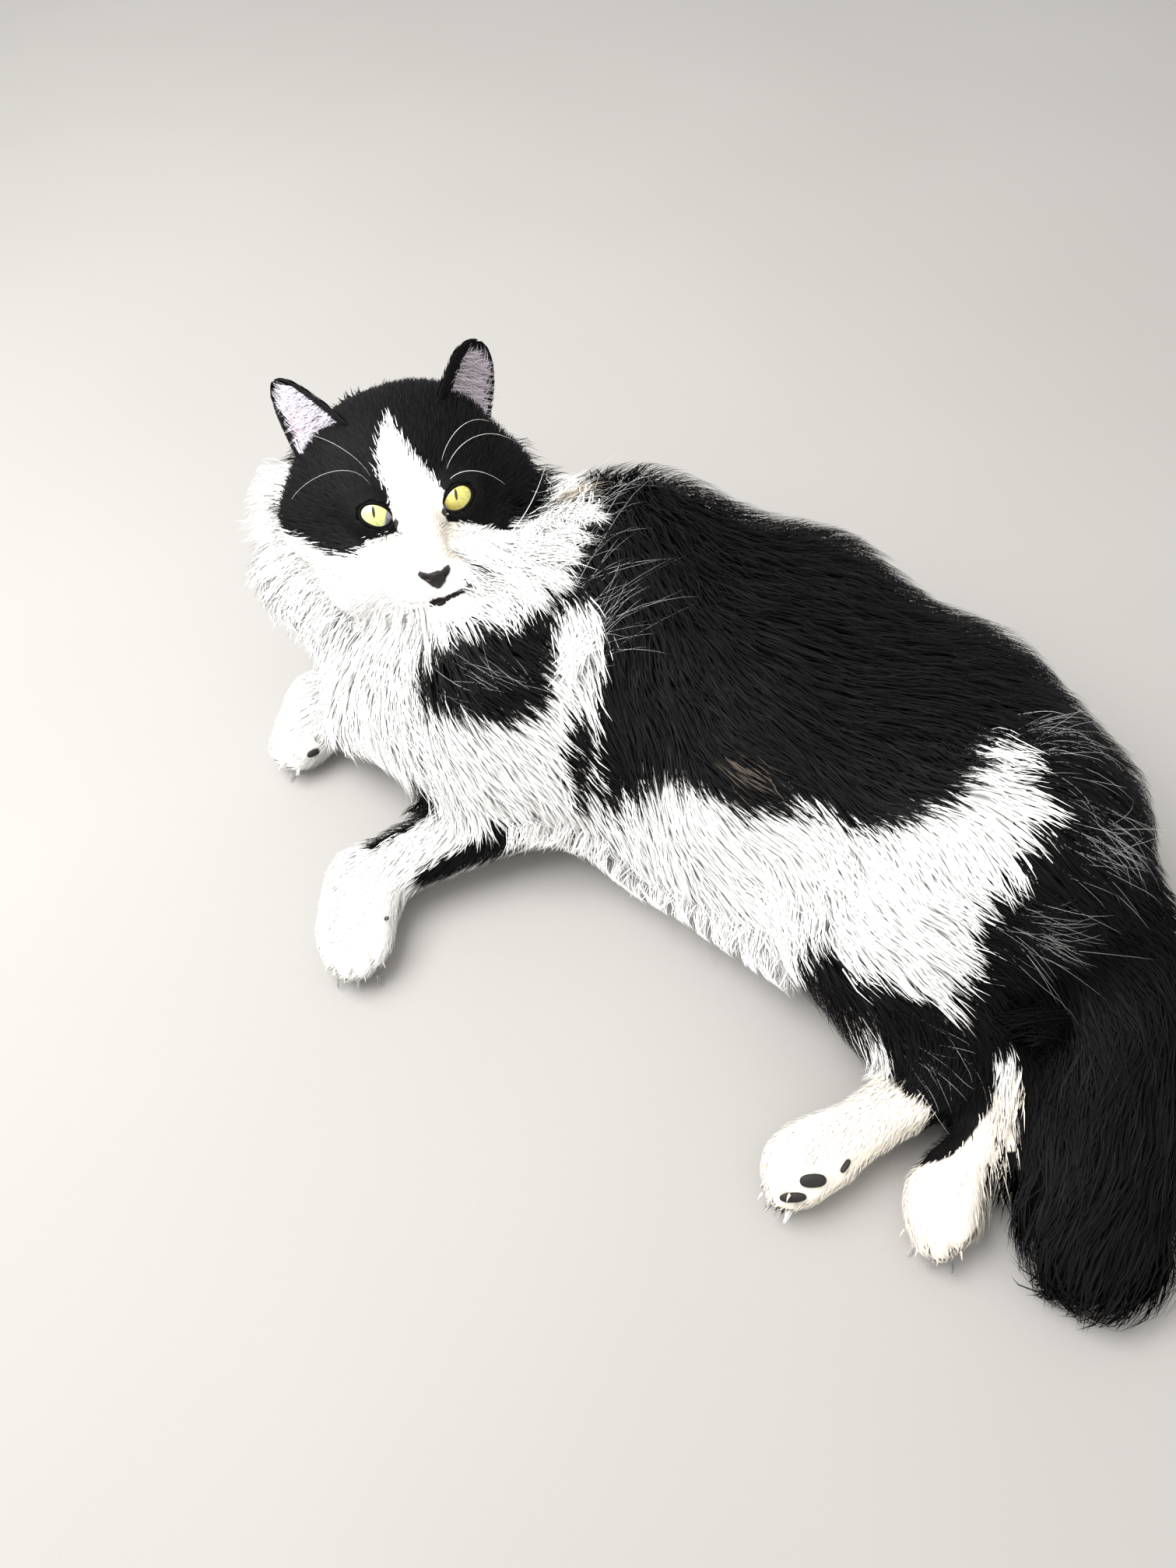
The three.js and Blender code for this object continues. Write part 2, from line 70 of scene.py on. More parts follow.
# ---- Skin: one hide over the whole animal, lying inside the outline by the depth of its coat ----
# The outline is read from the solids into a grid of distances, drawn in by the coat's depth, and
# joined to a finer head (skull, brow, bridge, whisker cushions, chin, jaw) and to paws with toes.
VOXEL = 2 * MM  # one cell of the grid
EYE_RADIUS = (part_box("eye_left")[1].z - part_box("eye_left")[0].z) / 2 / MM
EYE_OUT = (EYE_PLACES[1] - EYE_PLACES[-1]).length / 2 / MM  # mm from the midline
EYE_DEPTH = 10.2  # mm, eyeball middles behind the face's own origin
EYE_DROP = 1.2  # mm, eyeball middles below it
NOSE_PLACE = (0, -36.5, 17.5)  # mm, in the face's own axes
nose_middle = sum(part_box("nose"), Vector()) / 2
LEFT = (EYE_PLACES[1] - EYE_PLACES[-1]).normalized()
to_nose = nose_middle - EYE_MIDDLE
aside = LEFT * to_nose.dot(LEFT)
to_nose = (to_nose - aside).normalized()
drop = math.atan2(-NOSE_PLACE[1] - EYE_DROP, NOSE_PLACE[2] + EYE_DEPTH)
across = LEFT.cross(to_nose)
OUT = math.cos(drop) * to_nose - math.sin(drop) * across
CROWN = -math.sin(drop) * to_nose - math.cos(drop) * across
FACE = np.array(EYE_MIDDLE + aside + (OUT * EYE_DEPTH + CROWN * EYE_DROP) * MM)
HEAD_AXES = np.array([LEFT, CROWN, OUT])
EYE_ASIDE = -aside.dot(LEFT) / MM  # both eyes are turned this far to the cat's left
FACE_IN_PLAN = (-143.5, 136.6, 180.0)  # mm, where the face stands in the plan that places are given in
PLAN_FROM = FACE / MM - FACE_IN_PLAN


def on_face(points):
    """Places in the head's own axes, in mm: to the cat's left, to the crown, out of the face."""
    return (points - FACE) @ HEAD_AXES.T / MM


def off_face(local):
    return FACE + np.asarray(local, float) @ HEAD_AXES * MM


def unit(v):
    v = np.asarray(v, float)
    return v / np.maximum(np.linalg.norm(v, axis=-1, keepdims=True), 1e-9)


def step(x, low, high):
    """0 below low, 1 above high, and smooth between."""
    t = np.clip((x - low) / (high - low), 0, 1)
    return t * t * (3 - 2 * t)


class Field:
    """A number, or a few, at every place of a grid, read between its points."""

    def __init__(self, values, corner, pitch):
        self.values, self.corner, self.pitch = values, np.asarray(corner, float), pitch

    def at(self, points):
        top = np.array(self.values.shape[:3]) - 1.001
        q = np.clip((points - self.corner) / self.pitch, 0, top)
        i = q.astype(int)
        f = q - i
        total = 0
        for c in np.ndindex(2, 2, 2):
            w = np.prod(np.where(c, f, 1 - f), axis=-1)
            v = self.values[i[..., 0] + c[0], i[..., 1] + c[1], i[..., 2] + c[2]]
            total = total + (w[..., None] * v if v.ndim > w.ndim else w * v)
        return total

    def slope(self, points, reach=None):
        reach = reach or self.pitch
        moves = np.eye(3) * reach
        return np.stack([self.at(points + m) - self.at(points - m) for m in moves], -1) / (2 * reach)

    def regrid(self, corner, pitch, shape):
        """The same numbers at the points of another grid."""
        values = self.values
        for axis in range(3):
            q = (corner[axis] + np.arange(shape[axis]) * pitch - self.corner[axis]) / self.pitch
            q = np.clip(q, 0, values.shape[axis] - 1.001)
            i = q.astype(int)
            f = (q - i).astype(np.float32).reshape([-1 if k == axis else 1 for k in range(values.ndim)])
            values = np.take(values, i, axis) * (1 - f) + np.take(values, i + 1, axis) * f
        return values


def soften(values, spread):
    """Blurs a grid by a bell curve of that many cells."""
    reach = max(1, int(2.5 * spread))
    bell = np.exp(-0.5 * (np.arange(-reach, reach + 1) / spread) ** 2).astype(np.float32)
    bell /= bell.sum()
    for axis in range(3):
        edge = [(0, 0)] * values.ndim
        edge[axis] = (reach, reach)
        wide = np.pad(values, edge, mode="edge")
        n = values.shape[axis]
        cut = [slice(None)] * values.ndim
        total = 0
        for k, b in enumerate(bell):
            cut[axis] = slice(k, k + n)
            total = total + b * wide[tuple(cut)]
        values = total
    return values


def numbers(parts, what, width, kind=np.float32):
    """One thing about each part of a mesh, as rows of that many numbers."""
    flat = np.empty(len(parts) * width, kind)
    parts.foreach_get(what, flat)
    return flat.reshape(-1, width)


def triangles_of(name):
    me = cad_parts[name].data
    me.calc_loop_triangles()
    return numbers(me.vertices, "co", 3), numbers(me.loop_triangles, "vertices", 3, np.int32)


def tree_of(places):
    """A tree that finds the nearest of those places."""
    tree = KDTree(len(places))
    for k, p in enumerate(places):
        tree.insert(p, k)
    tree.balance()
    return tree


FLESH = [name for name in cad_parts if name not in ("nose", "eye_left", "eye_right")]
OUTLINE = [name for name in FLESH if not name.startswith("ear")]
points, faces, count = [], [], 0
for name in OUTLINE:
    co, tri = triangles_of(name)
    for mirror in (1, -1):  # mirrored below the floor, so that the flats don't draw the hide up
        points.append(co * (1, 1, mirror))
        faces.append(tri[:, ::mirror] + count)
        count += len(co)
transform = vdb.createLinearTransform(VOXEL)
PARTING = 0.6 * MM  # closes the thin cuts between the solids
DEEPEST_CELL = -3  # the grid's lowest layer, a little below the floor
parted = vdb.FloatGrid.createLevelSetFromPolygons(
    np.concatenate(points).astype(np.float32), triangles=np.concatenate(faces).astype(np.uint32),
    transform=transform, halfWidth=4)
whole_points, _, whole_quads = parted.convertToPolygons(isovalue=PARTING)
whole = vdb.FloatGrid.createLevelSetFromPolygons(
    whole_points, quads=whole_quads, transform=transform, exBandWidth=12, inBandWidth=40)
low, high = (np.array(c) for c in whole.evalActiveVoxelBoundingBox())
low[2] = DEEPEST_CELL
distances = np.empty(tuple(high - low + 1), np.float32)
whole.copyToArray(distances, ijk=tuple(int(i) for i in low))
distances += PARTING
corner = low * VOXEL
outline = Field(soften(distances, 2.5), corner, VOXEL)

# Each solid's coat: its depth, the length of its hairs in mm, and which way they lie.
middle = {name: np.array(sum(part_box(name), Vector()) / 2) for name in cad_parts}
COAT = {
    "head": (7, 9, (0, 0.7, 0.3)),
    "neck": (12, 34, (-0.3, -0.5, -0.6)),
    "chest": (13, 30, (0.25, -0.7, -0.5)),
    "belly": (12, 32, (0.8, -0.5, -0.25)),
    "rump": (12, 34, (0.75, -0.6, -0.25)),
    "shoulder_left": (9, 24, (0.7, -0.5, -0.4)),
    "thigh_left": (11, 32, (0.7, -0.65, -0.3)),
    "thigh_right": (7, 26, (0.5, -0.8, -0.2)),
}
for upper, foot in (("forearm", "forepaw"), ("shank", "hind_foot")):
    for side in ("left", "right"):
        down = unit(middle[f"{foot}_{side}"] - middle[f"{upper}_{side}"])
        COAT[f"{upper}_{side}"] = (4.5, 13, down)
        COAT[f"{foot}_{side}"] = (2.6, 7, down)
for k, depth in ((1, 10), (2, 15), (3, 15)):
    along = unit(middle[f"tail_{min(k + 1, 3)}"] - middle[f"tail_{min(k, 2)}"])
    COAT[f"tail_{k}"] = (depth, 48, along)
PATCH = 6 * MM  # one cell of the coarse grid that tells which solid is nearest
SPOT = 3  # mm between the places taken from each solid
owners, places = [], []
for number, name in enumerate(OUTLINE):
    co, tri = triangles_of(name)
    spots = np.concatenate([co, co[tri].mean(1)])
    spots = np.unique(np.round(spots / (SPOT * MM)).astype(int), axis=0) * SPOT * MM
    places.append(spots)
    owners += [number] * len(spots)
tree = tree_of(np.concatenate(places))
patch_shape = np.ceil(np.array(distances.shape) * VOXEL / PATCH).astype(int) + 1


def grid_places(shape, pitch):
    """The place of every point of a grid that starts at the outline's corner."""
    lines = [corner[k] + np.arange(n) * pitch for k, n in enumerate(shape)]
    return np.stack(np.meshgrid(*lines, indexing="ij"), -1)


spots = grid_places(patch_shape, PATCH)
owner = np.array([owners[tree.find(p)[1]] for p in spots.reshape(-1, 3)]).reshape(patch_shape)


def by_solid(values, spread):
    """A field that passes smoothly from each solid's value to its neighbours'."""
    table = np.array([values[name] for name in OUTLINE], np.float32)
    return Field(soften(table[owner], spread), corner, PATCH)


def solid_at(points):
    i = np.clip(np.round((points - corner) / PATCH).astype(int), 0, patch_shape - 1)
    return owner[i[:, 0], i[:, 1], i[:, 2]]


coat_depth = by_solid({n: COAT[n][0] for n in OUTLINE}, 1.3)
coat_length = by_solid({n: COAT[n][1] for n in OUTLINE}, 1.2)
coat_lie = by_solid({n: unit(COAT[n][2]) for n in OUTLINE}, 1.8)
paws = by_solid({n: float(any(w in n for w in ("paw", "foot", "fore", "shank"))) for n in OUTLINE}, 1.0)


def egg(q, middle, radii):
    """Distance from an egg-shaped solid, below 0 inside it."""
    d = (q - np.array(middle, float)) / radii
    k0 = np.linalg.norm(d, axis=-1)
    k1 = np.linalg.norm(d / radii, axis=-1)
    return k0 * (k0 - 1) / np.maximum(k1, 1e-6)


def bar(q, a, b, ra, rb):
    """Distance from a round bar between two places, with a radius at each."""
    a, b = np.array(a, float), np.array(b, float)
    t = np.clip((q - a) @ (b - a) / ((b - a) @ (b - a)), 0, 1)
    return np.linalg.norm(q - a - t[..., None] * (b - a), axis=-1) - (ra + (rb - ra) * t)


def blend(a, b, k):
    """Joins two solids, given as distances, with a fillet of about that size."""
    h = np.maximum(k - np.abs(a - b), 0) / k
    return np.minimum(a, b) - h * h * k / 4


def strip(q, spine):
    """Distance in the face's plane from a line through those places."""
    return np.min([bar(q[..., :2], a, b, 0, 0) for a, b in zip(spine, spine[1:])], axis=0)


MOUTH = [(0, -43.5), (0.3, -48.6), (6, -49.6), (13, -48.4), (20, -46), (27, -41)]  # the line of the lips
LID_HALF_LENGTH, LID_UP, LID_DOWN = 8.1, 5.3, 5.9  # mm, of an eye's opening
LID_SLANT = math.radians(23)  # its outer corner is higher


def eye_gap(q, s):
    """How far outside an eye's opening each place of the face is, in mm."""
    u, v = s * (q[..., 0] - EYE_ASIDE) - EYE_OUT, q[..., 1] + EYE_DROP
    c, t = math.cos(LID_SLANT), math.sin(LID_SLANT)
    u, v = u * c + v * t, v * c - u * t
    k = np.hypot(u / LID_HALF_LENGTH, v / np.where(v > 0, LID_UP, LID_DOWN))
    return (1 - 1 / np.maximum(k, 0.05)) * np.hypot(u, v)


NECK_FROM = on_face((np.array((-108.5, 131.8, 92)) + PLAN_FROM) * MM)  # where it leaves the shoulders
LIPS_CUT = 1.2  # mm, how deep the line of the lips is
SOCKET_EDGE = 1.3  # mm, how far outside the lids the socket is cut


def head_shape(q):
    """Distance in mm from the skin of the bare head, in the head's own axes."""
    half = np.concatenate([np.abs(q[..., :1]), q[..., 1:]], -1)
    eye = np.concatenate([np.abs(q[..., :1] - EYE_ASIDE), q[..., 1:2] + EYE_DROP, q[..., 2:] + EYE_DEPTH], -1)
    d = egg(q, (0, 19, -48), (50, 42, 40))  # skull
    for part, fillet in (
            (egg(q, (19, 35.5, -46), (28, 21, 22)), 9),  # crown
            (egg(q, (3, 3, -50), (66, 37, 32)), 9),  # temples and cheeks
            (egg(eye, (EYE_OUT, 4, -11.5), (15.5, 13, 15)), 8),  # brow
            (egg(eye, (EYE_OUT, 0, 0), EYE_RADIUS + np.array((2.2, 2.0, 1.6))), 6),  # round the eyeball
            (bar(q, (0, 9, -15), (0, -29, 7.0), 10.0, 7.6), 8),  # bridge of the nose
            (egg(q, (0, -35.5, 10), (8.6, 6.8, 8.6)), 5),  # tip of the nose
            (egg(half, (9.6, -42.5, 4.5), (11.6, 9.0, 11.6)), 6),  # whisker cushions
            (egg(half, (0, -53.5, -1), (9.8, 7.0, 10.5)), 4),  # chin
            (egg(half, (27, -28, -30), (24, 22, 24)), 9),  # jaw muscles
            (egg(half, (0, -38, -30), (27, 20, 24)), 9),  # throat
            (bar(q, (0, -8, -62), NECK_FROM, 34, 46), 9)):  # neck
        d = blend(d, part, fillet)
    front = step(q[..., 2], -2, 3)
    d = np.maximum(d, LIPS_CUT * front - strip(half, MOUTH) * 1.1)  # the lips part along this line
    for s in (-1, 1):
        d = np.maximum(d, -np.maximum(eye_gap(q, s) - SOCKET_EDGE, -eye[..., 2]))
    return d


# Each paw: its middle and heading, how far its sole is turned up (to the heading's left), and radii.
PAWS = {
    "forepaw_left": ((-193.5, -23.2, 17), -88, 0, (34, 24, 19)),
    "forepaw_right": ((-237.5, 110.9, 16), -125, 55, (26, 20, 16)),
    "hind_foot_left": ((37.5, -162.1, 15), -148, 58, (31, 22, 16)),
    "hind_foot_right": ((101.5, -184.1, 15), -120, 20, (31, 22, 16)),
}


def paw_frame(name):
    """The paw's middle in metres, and its axes: along the toes, across them, and out of its sole."""
    place, heading, rolled, radii = PAWS[name]
    h, r = math.radians(heading), math.radians(rolled)
    along = np.array((math.cos(h), math.sin(h), 0))
    aside, up = np.array((-math.sin(h), math.cos(h), 0)), np.array((0, 0, 1.0))
    sole = aside * math.sin(r) - up * math.cos(r)
    axes = np.array([along, np.cross(sole, along), sole])
    return (np.array(place) + PLAN_FROM) * MM, axes, np.array(radii, float)


PAW_REACH = 0.05
TOE_CLEFT = 3.4  # mm deep at the toes' ends
CLEFT_STARTS, CLEFT_FULL = 0.15, 0.62  # along the foot, as parts of its half length
CLEFTS = (-0.5, 0, 0.5)  # how they lie across the foot
CLEFT_WIDE, CLEFT_FAN = 0.62, 0.42  # how far apart at the foot's middle, and how much more towards its end


def toes(points):
    """How far each place is inside a cleft between two toes, in metres. Below 0 is outside."""
    deepest = np.full(points.shape[:-1], -1.0)
    for name in PAWS:
        place, axes, radii = paw_frame(name)
        near = np.linalg.norm(points - place, axis=-1) < PAW_REACH
        q = (points[near] - place) @ axes.T / MM
        size = radii[0]
        shell = np.abs(np.linalg.norm(q / radii, axis=-1) - 1) * radii[2]
        toward = step(q[..., 0], CLEFT_STARTS * size, CLEFT_FULL * size)
        gap = 9.0
        for k in CLEFTS:
            line = k * radii[1] * (CLEFT_WIDE + CLEFT_FAN * q[..., 0] / size)
            gap = np.minimum(gap, np.hypot(0.55 * shell, q[..., 1] - line))
        deepest[near] = np.maximum(deepest[near], (TOE_CLEFT * toward - 1.0 - gap) * MM)
    return deepest


SKIN_CLEARANCE = 3 * MM  # what pressed hair keeps between the skin and the floor
HEAD_MIDDLE, HEAD_REACH, HEAD_FILLET = (0, -10, -50), 110, 12  # mm, in the face's own axes


def with_head(points, body):
    """Distance from the skin, from the body's own distance there."""
    q = on_face(points)
    near = np.linalg.norm(q - HEAD_MIDDLE, axis=-1) < HEAD_REACH
    body[near] = blend(body[near], head_shape(q[near]) * MM, HEAD_FILLET * MM)
    body = np.maximum(body, toes(points))
    return np.maximum(body, SKIN_CLEARANCE - points[..., 2])


sharp = np.clip(paws.regrid(corner, VOXEL, distances.shape), 0, 1)
rough = Field((outline.values * (1 - sharp) + soften(distances, 0.8) * sharp
               + coat_depth.regrid(corner, VOXEL, distances.shape) * MM).astype(np.float32), corner, VOXEL)
cells = grid_places(distances.shape, VOXEL).astype(np.float32)
skin_values = with_head(cells, rough.values.copy()).astype(np.float32)
skin = Field(skin_values, corner, VOXEL)
grid = vdb.FloatGrid(0.1)
grid.copyFromArray(skin_values, ijk=tuple(int(i) for i in low))
grid.transform = transform
skin_points, _, skin_quads = grid.convertToPolygons(isovalue=0.0)
del cells, sharp
skin_mesh = bpy.data.meshes.new("skin")
skin_mesh.from_pydata(skin_points.tolist(), [], skin_quads[:, ::-1].tolist())


FINE_MIDDLE, FINE_REACH, FINE_BACK = (0, -14, -18), 58, -44  # mm, on the face
FINE_TOES = 0.030


def is_fine(co):
    """Where the hide is modelled finer: over the face, and at the toes."""
    q = on_face(co)
    fine = (np.linalg.norm(q - FINE_MIDDLE, axis=1) < FINE_REACH) & (q[:, 2] > FINE_BACK)
    for name in PAWS:
        place, axes, radii = paw_frame(name)
        fine |= np.linalg.norm(co - place - axes[0] * radii[0] * 0.5 * MM, axis=1) < FINE_TOES
    return fine


# The face and toes are divided finer than the body, and settled on their own shape.
bm = bmesh.new()
bm.from_mesh(skin_mesh)
fine = is_fine(np.array([v.co for v in bm.verts]))
bm.verts.ensure_lookup_table()
edges = [e for e in bm.edges if fine[e.verts[0].index] and fine[e.verts[1].index]]
bmesh.ops.subdivide_edges(bm, edges=edges, cuts=1, use_grid_fill=True)
bmesh.ops.triangulate(bm, faces=[f for f in bm.faces if len(f.verts) > 4])
bm.to_mesh(skin_mesh)
bm.free()
co = numbers(skin_mesh.vertices, "co", 3).astype(float)
fine = np.nonzero(is_fine(co))[0]


def near_skin(points):
    """Distance from the skin, worked out afresh at each place and not from the grid."""
    return with_head(points, rough.at(points))


def near_slope(points, reach=0.3 * MM):
    rises = [near_skin(points + m) - near_skin(points - m) for m in np.eye(3) * reach]
    return np.stack(rises, -1) / (2 * reach)


def settle(points, height=0.0, passes=3):
    """Moves places on to the skin, or that far off it."""
    for _ in range(passes):
        slope = near_slope(points)
        move = (near_skin(points) - height) / np.maximum((slope ** 2).sum(-1), 0.3)
        points = points - slope * np.clip(move, -3 * MM, 3 * MM)[:, None]
    return points


BEHIND_FACE, BEFORE_FACE = -40.0, 37.0  # mm, between these the face's skin is looked for


def skin_above(a, b):
    """Places on the face's skin in front of those places of its plane, in mm."""
    a, b = np.broadcast_arrays(np.asarray(a, float), np.asarray(b, float))
    found = np.full(a.shape, BEHIND_FACE)
    for c in np.arange(BEHIND_FACE + 1, BEFORE_FACE):
        found = np.where(head_shape(np.stack([a, b, np.full(a.shape, c)], -1)) < 0, c, found)
    for k in range(6):  # and then to the nearest 1/64 mm
        half = 0.5 ** (k + 1)
        inside_skin = head_shape(np.stack([a, b, found + half], -1)) < 0
        found = np.where(inside_skin, found + half, found)
    return np.stack([a, b, found], -1)


co[fine] = settle(co[fine])
skin_mesh.vertices.foreach_set("co", co.astype(np.float32).ravel())

# ---- Ears: two upright leaves of thin gristle, cupped forward, set on the back of the crown ----
# Each is one shell with an inner and an outer face, rooted in the head and joined to the hide.
EARS = {  # base, tip, and how full the leaf stays towards its tip
    -1: ((-37, 40, -29), (-53.6, 75.3, -32), 1.6),
    1: ((40.5, 40, -31), (58.2, 76.2, -33), 4.5),
}
EAR_HALF_WIDTH, EAR_CUP, EAR_THICK = 18.7, 10.5, 1.6  # mm
EAR_ROOT = 12  # how far the leaf goes on below the crown
EAR_FEET = ((54, 33, -40.0), (24, 47, -18))  # the outer and inner foot of the leaf, of the cat's left ear


def ear_frame(s):
    """The ear's base, its height, and its axes: up, across outward, and backward."""
    base, tip = (np.array(p) for p in EARS[s][:2])
    up = unit(tip - base)
    outer, inner = (np.array(p) * (s, 1, 1) for p in EAR_FEET)
    wide = unit(outer - inner)
    wide = unit(wide - up * (wide @ up))
    back = np.cross(up, wide)
    back *= -np.sign(back[2])
    return base, np.linalg.norm(tip - base), up, wide, back


def ear_point(s, t, h, lift=0.0, layer=0):
    """A place on the ear: t across from -1 to 1, outward on the head, h up from 0 to 1.

    layer 0 is the inner face and 1 the outer, and lift is how far off that face it is, in mm.
    """
    base, height, up, wide, back = ear_frame(s)
    t, h, lift = np.broadcast_arrays(*(np.asarray(v, float) for v in (t, h, lift)))
    half = EAR_HALF_WIDTH * np.sqrt(np.maximum(1 - h ** EARS[s][2], 0)) * (1 - 0.14 * h) + 1.5 * (1 - h)
    cup = 1.0 + EAR_CUP * (1 - 0.75 * h) * (1 - t * t)
    thick = layer * EAR_THICK * (0.5 + 0.5 * (1 - t * t)) * (1 - 0.4 * h) + (2 * layer - 1) * lift
    rise = -EAR_ROOT + (height + EAR_ROOT) * h
    out, behind = (t * half)[..., None], (cup + thick)[..., None]
    return off_face(base + rise[..., None] * up + out * wide + behind * back)


def ear_grid(across=24, tall=26):
    return np.meshgrid(np.linspace(-1, 1, across + 1), 0.995 * np.linspace(0, 1, tall + 1) ** 0.85)


def ear_mesh(s, across=24, tall=26):
    verts, faces = [], []
    t, h = ear_grid(across, tall)
    for layer in (0, 1):
        verts.append(ear_point(s, t, h, 0, layer).reshape(-1, 3))
    n = (across + 1) * (tall + 1)

    def at(i, j, layer):
        return layer * n + j * (across + 1) + i

    for j in range(tall):
        for i in range(across):
            faces.append((at(i, j, 0), at(i + 1, j, 0), at(i + 1, j + 1, 0), at(i, j + 1, 0)))
            faces.append((at(i, j, 1), at(i, j + 1, 1), at(i + 1, j + 1, 1), at(i + 1, j, 1)))
    rim = ([(i, 0) for i in range(across)] + [(across, j) for j in range(tall)]
           + [(i, tall) for i in range(across, 0, -1)] + [(0, j) for j in range(tall, 0, -1)])
    for (i, j), (k, m) in zip(rim, rim[1:] + rim[:1]):
        faces.append((at(k, m, 0), at(i, j, 0), at(i, j, 1), at(k, m, 1)))
    if s > 0:
        faces = [f[::-1] for f in faces]
    return np.concatenate(verts), faces


# ---- Eyelids: a dark rim round each eye, drawn to a point towards the nose ----
# Each is a rolled edge of hide that hugs the eyeball and goes in under the fur around it.
# Its section is given in mm: outward from the opening's edge, and off the eyeball.
LID_PROFILE = ((-0.35, -0.1), (-0.05, 0.35), (0.25, 0.75), (0.7, 1.0), (1.2, 1.0), (1.8, 0.7), (2.6, -0.3))


def lid_edge(angle):
    """The opening's edge, in mm from the eye's middle: outward on the head, and up."""
    c, s = np.cos(angle), np.sin(angle)
    u = LID_HALF_LENGTH * c * (1 + 0.12 * np.maximum(-c, 0) ** 5)
    v = np.where(s > 0, LID_UP, LID_DOWN) * s * (1 + 0.10 * c * s)
    turn_u, turn_v = math.cos(LID_SLANT), math.sin(LID_SLANT)
    return u * turn_u - v * turn_v, u * turn_v + v * turn_u


def eye_at(s):
    return np.array((s * EYE_OUT + EYE_ASIDE, -EYE_DROP, -EYE_DEPTH))


def turns(count):
    return np.linspace(0, 2 * np.pi, count, endpoint=False)


def lid_mesh(s, around=72):
    angle = turns(around)
    u, v = lid_edge(angle)
    far = np.hypot(u, v)
    edge = np.arcsin(np.clip(far / (EYE_RADIUS + 0.5), 0, 0.98))
    verts, faces = [], []
    for along, proud in LID_PROFILE:
        a = edge + along / EYE_RADIUS
        r = EYE_RADIUS + proud
        local = np.stack([s * r * np.sin(a) * u / far, r * np.sin(a) * v / far, r * np.cos(a)], -1)
        verts.append(off_face(eye_at(s) + local))
    for k in range(len(LID_PROFILE) - 1):
        for i in range(around):
            j = (i + 1) % around
            face = (k * around + i, k * around + j, (k + 1) * around + j, (k + 1) * around + i)
            faces.append(face if s < 0 else face[::-1])
    return np.concatenate(verts), faces


BODY, EAR, LID = range(3)
extras = [(EAR, *ear_mesh(s)) for s in (-1, 1)] + [(LID, *lid_mesh(s)) for s in (-1, 1)]
bm = bmesh.new()
bm.from_mesh(skin_mesh)
kinds = [BODY] * len(bm.faces)
for kind, verts, faces in extras:
    made = [bm.verts.new(v) for v in verts]
    for f in faces:
        bm.faces.new([made[i] for i in f])
    kinds += [kind] * len(faces)
bm.to_mesh(skin_mesh)
bm.free()
kinds = np.array(kinds)
skin_mesh.polygons.foreach_set("use_smooth", [True] * len(skin_mesh.polygons))
skin_piece = bpy.data.objects.new("skin", skin_mesh)
bpy.context.collection.objects.link(skin_piece)
bpy.context.view_layer.objects.active = skin_piece
skin_piece.select_set(True)
skin_mesh.uv_layers.new(name="OFBake")
bpy.ops.object.mode_set(mode="EDIT")
bpy.ops.mesh.select_all(action="SELECT")
bpy.ops.uv.smart_project(angle_limit=math.radians(66), island_margin=0.002)
bpy.ops.object.mode_set(mode="OBJECT")
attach(skin_piece, "root")
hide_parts(*FLESH)

# ---- Markings: black above and white below, the same in the hide and in every hair ----
# The black is given by its outlines seen from above, in mm, and on the head by the mask and blaze.
BACK = [(-62, 300), (-54, 172), (-56, 158), (-62, 150), (-58, 138), (-60, 126), (-64, 112), (-70, 100),
        (-77, 96), (-70, 90), (-60, 89), (-54, 92), (-46, 80), (-50, 61), (-53, 45), (-54, 20), (-42, 16),
        (-22, 13), (0, 4), (19, -10), (51, -15), (64, -23), (80, -35), (96, -36), (111, -31), (124, -24),
        (133, -12), (142, -2), (150, -28), (154, -42), (141, -63), (127, -69), (121, -78), (127, -90),
        (113, -108), (95, -101), (66, -92), (57, -77), (46, -72), (42, -82), (48, -98), (62, -104),
        (77, -116), (86, -138), (99, -144), (91, -168), (106, -166), (118, -156), (130, -143), (133, -126),
        (142, -122), (145, -142), (141, -157), (136, -169), (126, -190), (122, -300), (320, -300),
        (320, 300)]
SHOULDER_PATCH = [(-150, 62), (-142, 70), (-121, 75), (-97, 79), (-84, 90), (-77, 97), (-68, 92), (-74, 84),
                  (-77, 66), (-79, 49), (-99, 44), (-123, 46), (-138, 53)]
ELBOW_STREAK = [(-67, 48), (-56, 45), (-57, 34), (-59, 28), (-63, 20), (-67, 24), (-71, 36)]
HIGH_PATCHES = ((SHOULDER_PATCH, 92), (ELBOW_STREAK, 50))  # each is black only above that height
BEHIND_SHOULDERS, BEHIND_ABOVE = 176, 40  # all black from here towards the plan's back, above that height
FORELEG_BLACK = [((-182, 26, 44), (-153, 42, 48), 13),
                 ((-150, -4, 28), (-106, 16, 36), 12)]  # ends of two patches, and their half widths
# The rest are on the face: black beyond the ruff, the mask's lower edge, the white blaze, the nose,
# the spots that whiskers grow from, and the lip.
RUFF_EDGE = [(104, 20), (101, -6), (95, -19), (86, -29), (81, -33), (88, -42), (83, -48), (74, -56),
             (61, -64), (46, -70), (32, -76), (20, -88), (20, -120), (170, -120), (170, 20)]
MASK_EDGE = [(-90, 34), (-74, 30), (-70, 4), (-63, -3), (-55, -9), (-50, -15), (-36, -18), (-29, -13),
             (-12, -12), (15, -12), (30, -16), (38, -21), (49, -24), (59, -22), (70, -18), (80, -7),
             (92, 0)]
BLAZE = [(-11, -14), (-13, -2), (-12, 4), (-12, 11), (-14, 19), (-12.5, 28), (-9.5, 35), (-5.5, 40), (-1, 47),
         (0.5, 39), (5, 28), (8.5, 20.5), (13, 13), (16, 4), (15, -3.5), (14.5, -14), (0, -40)]
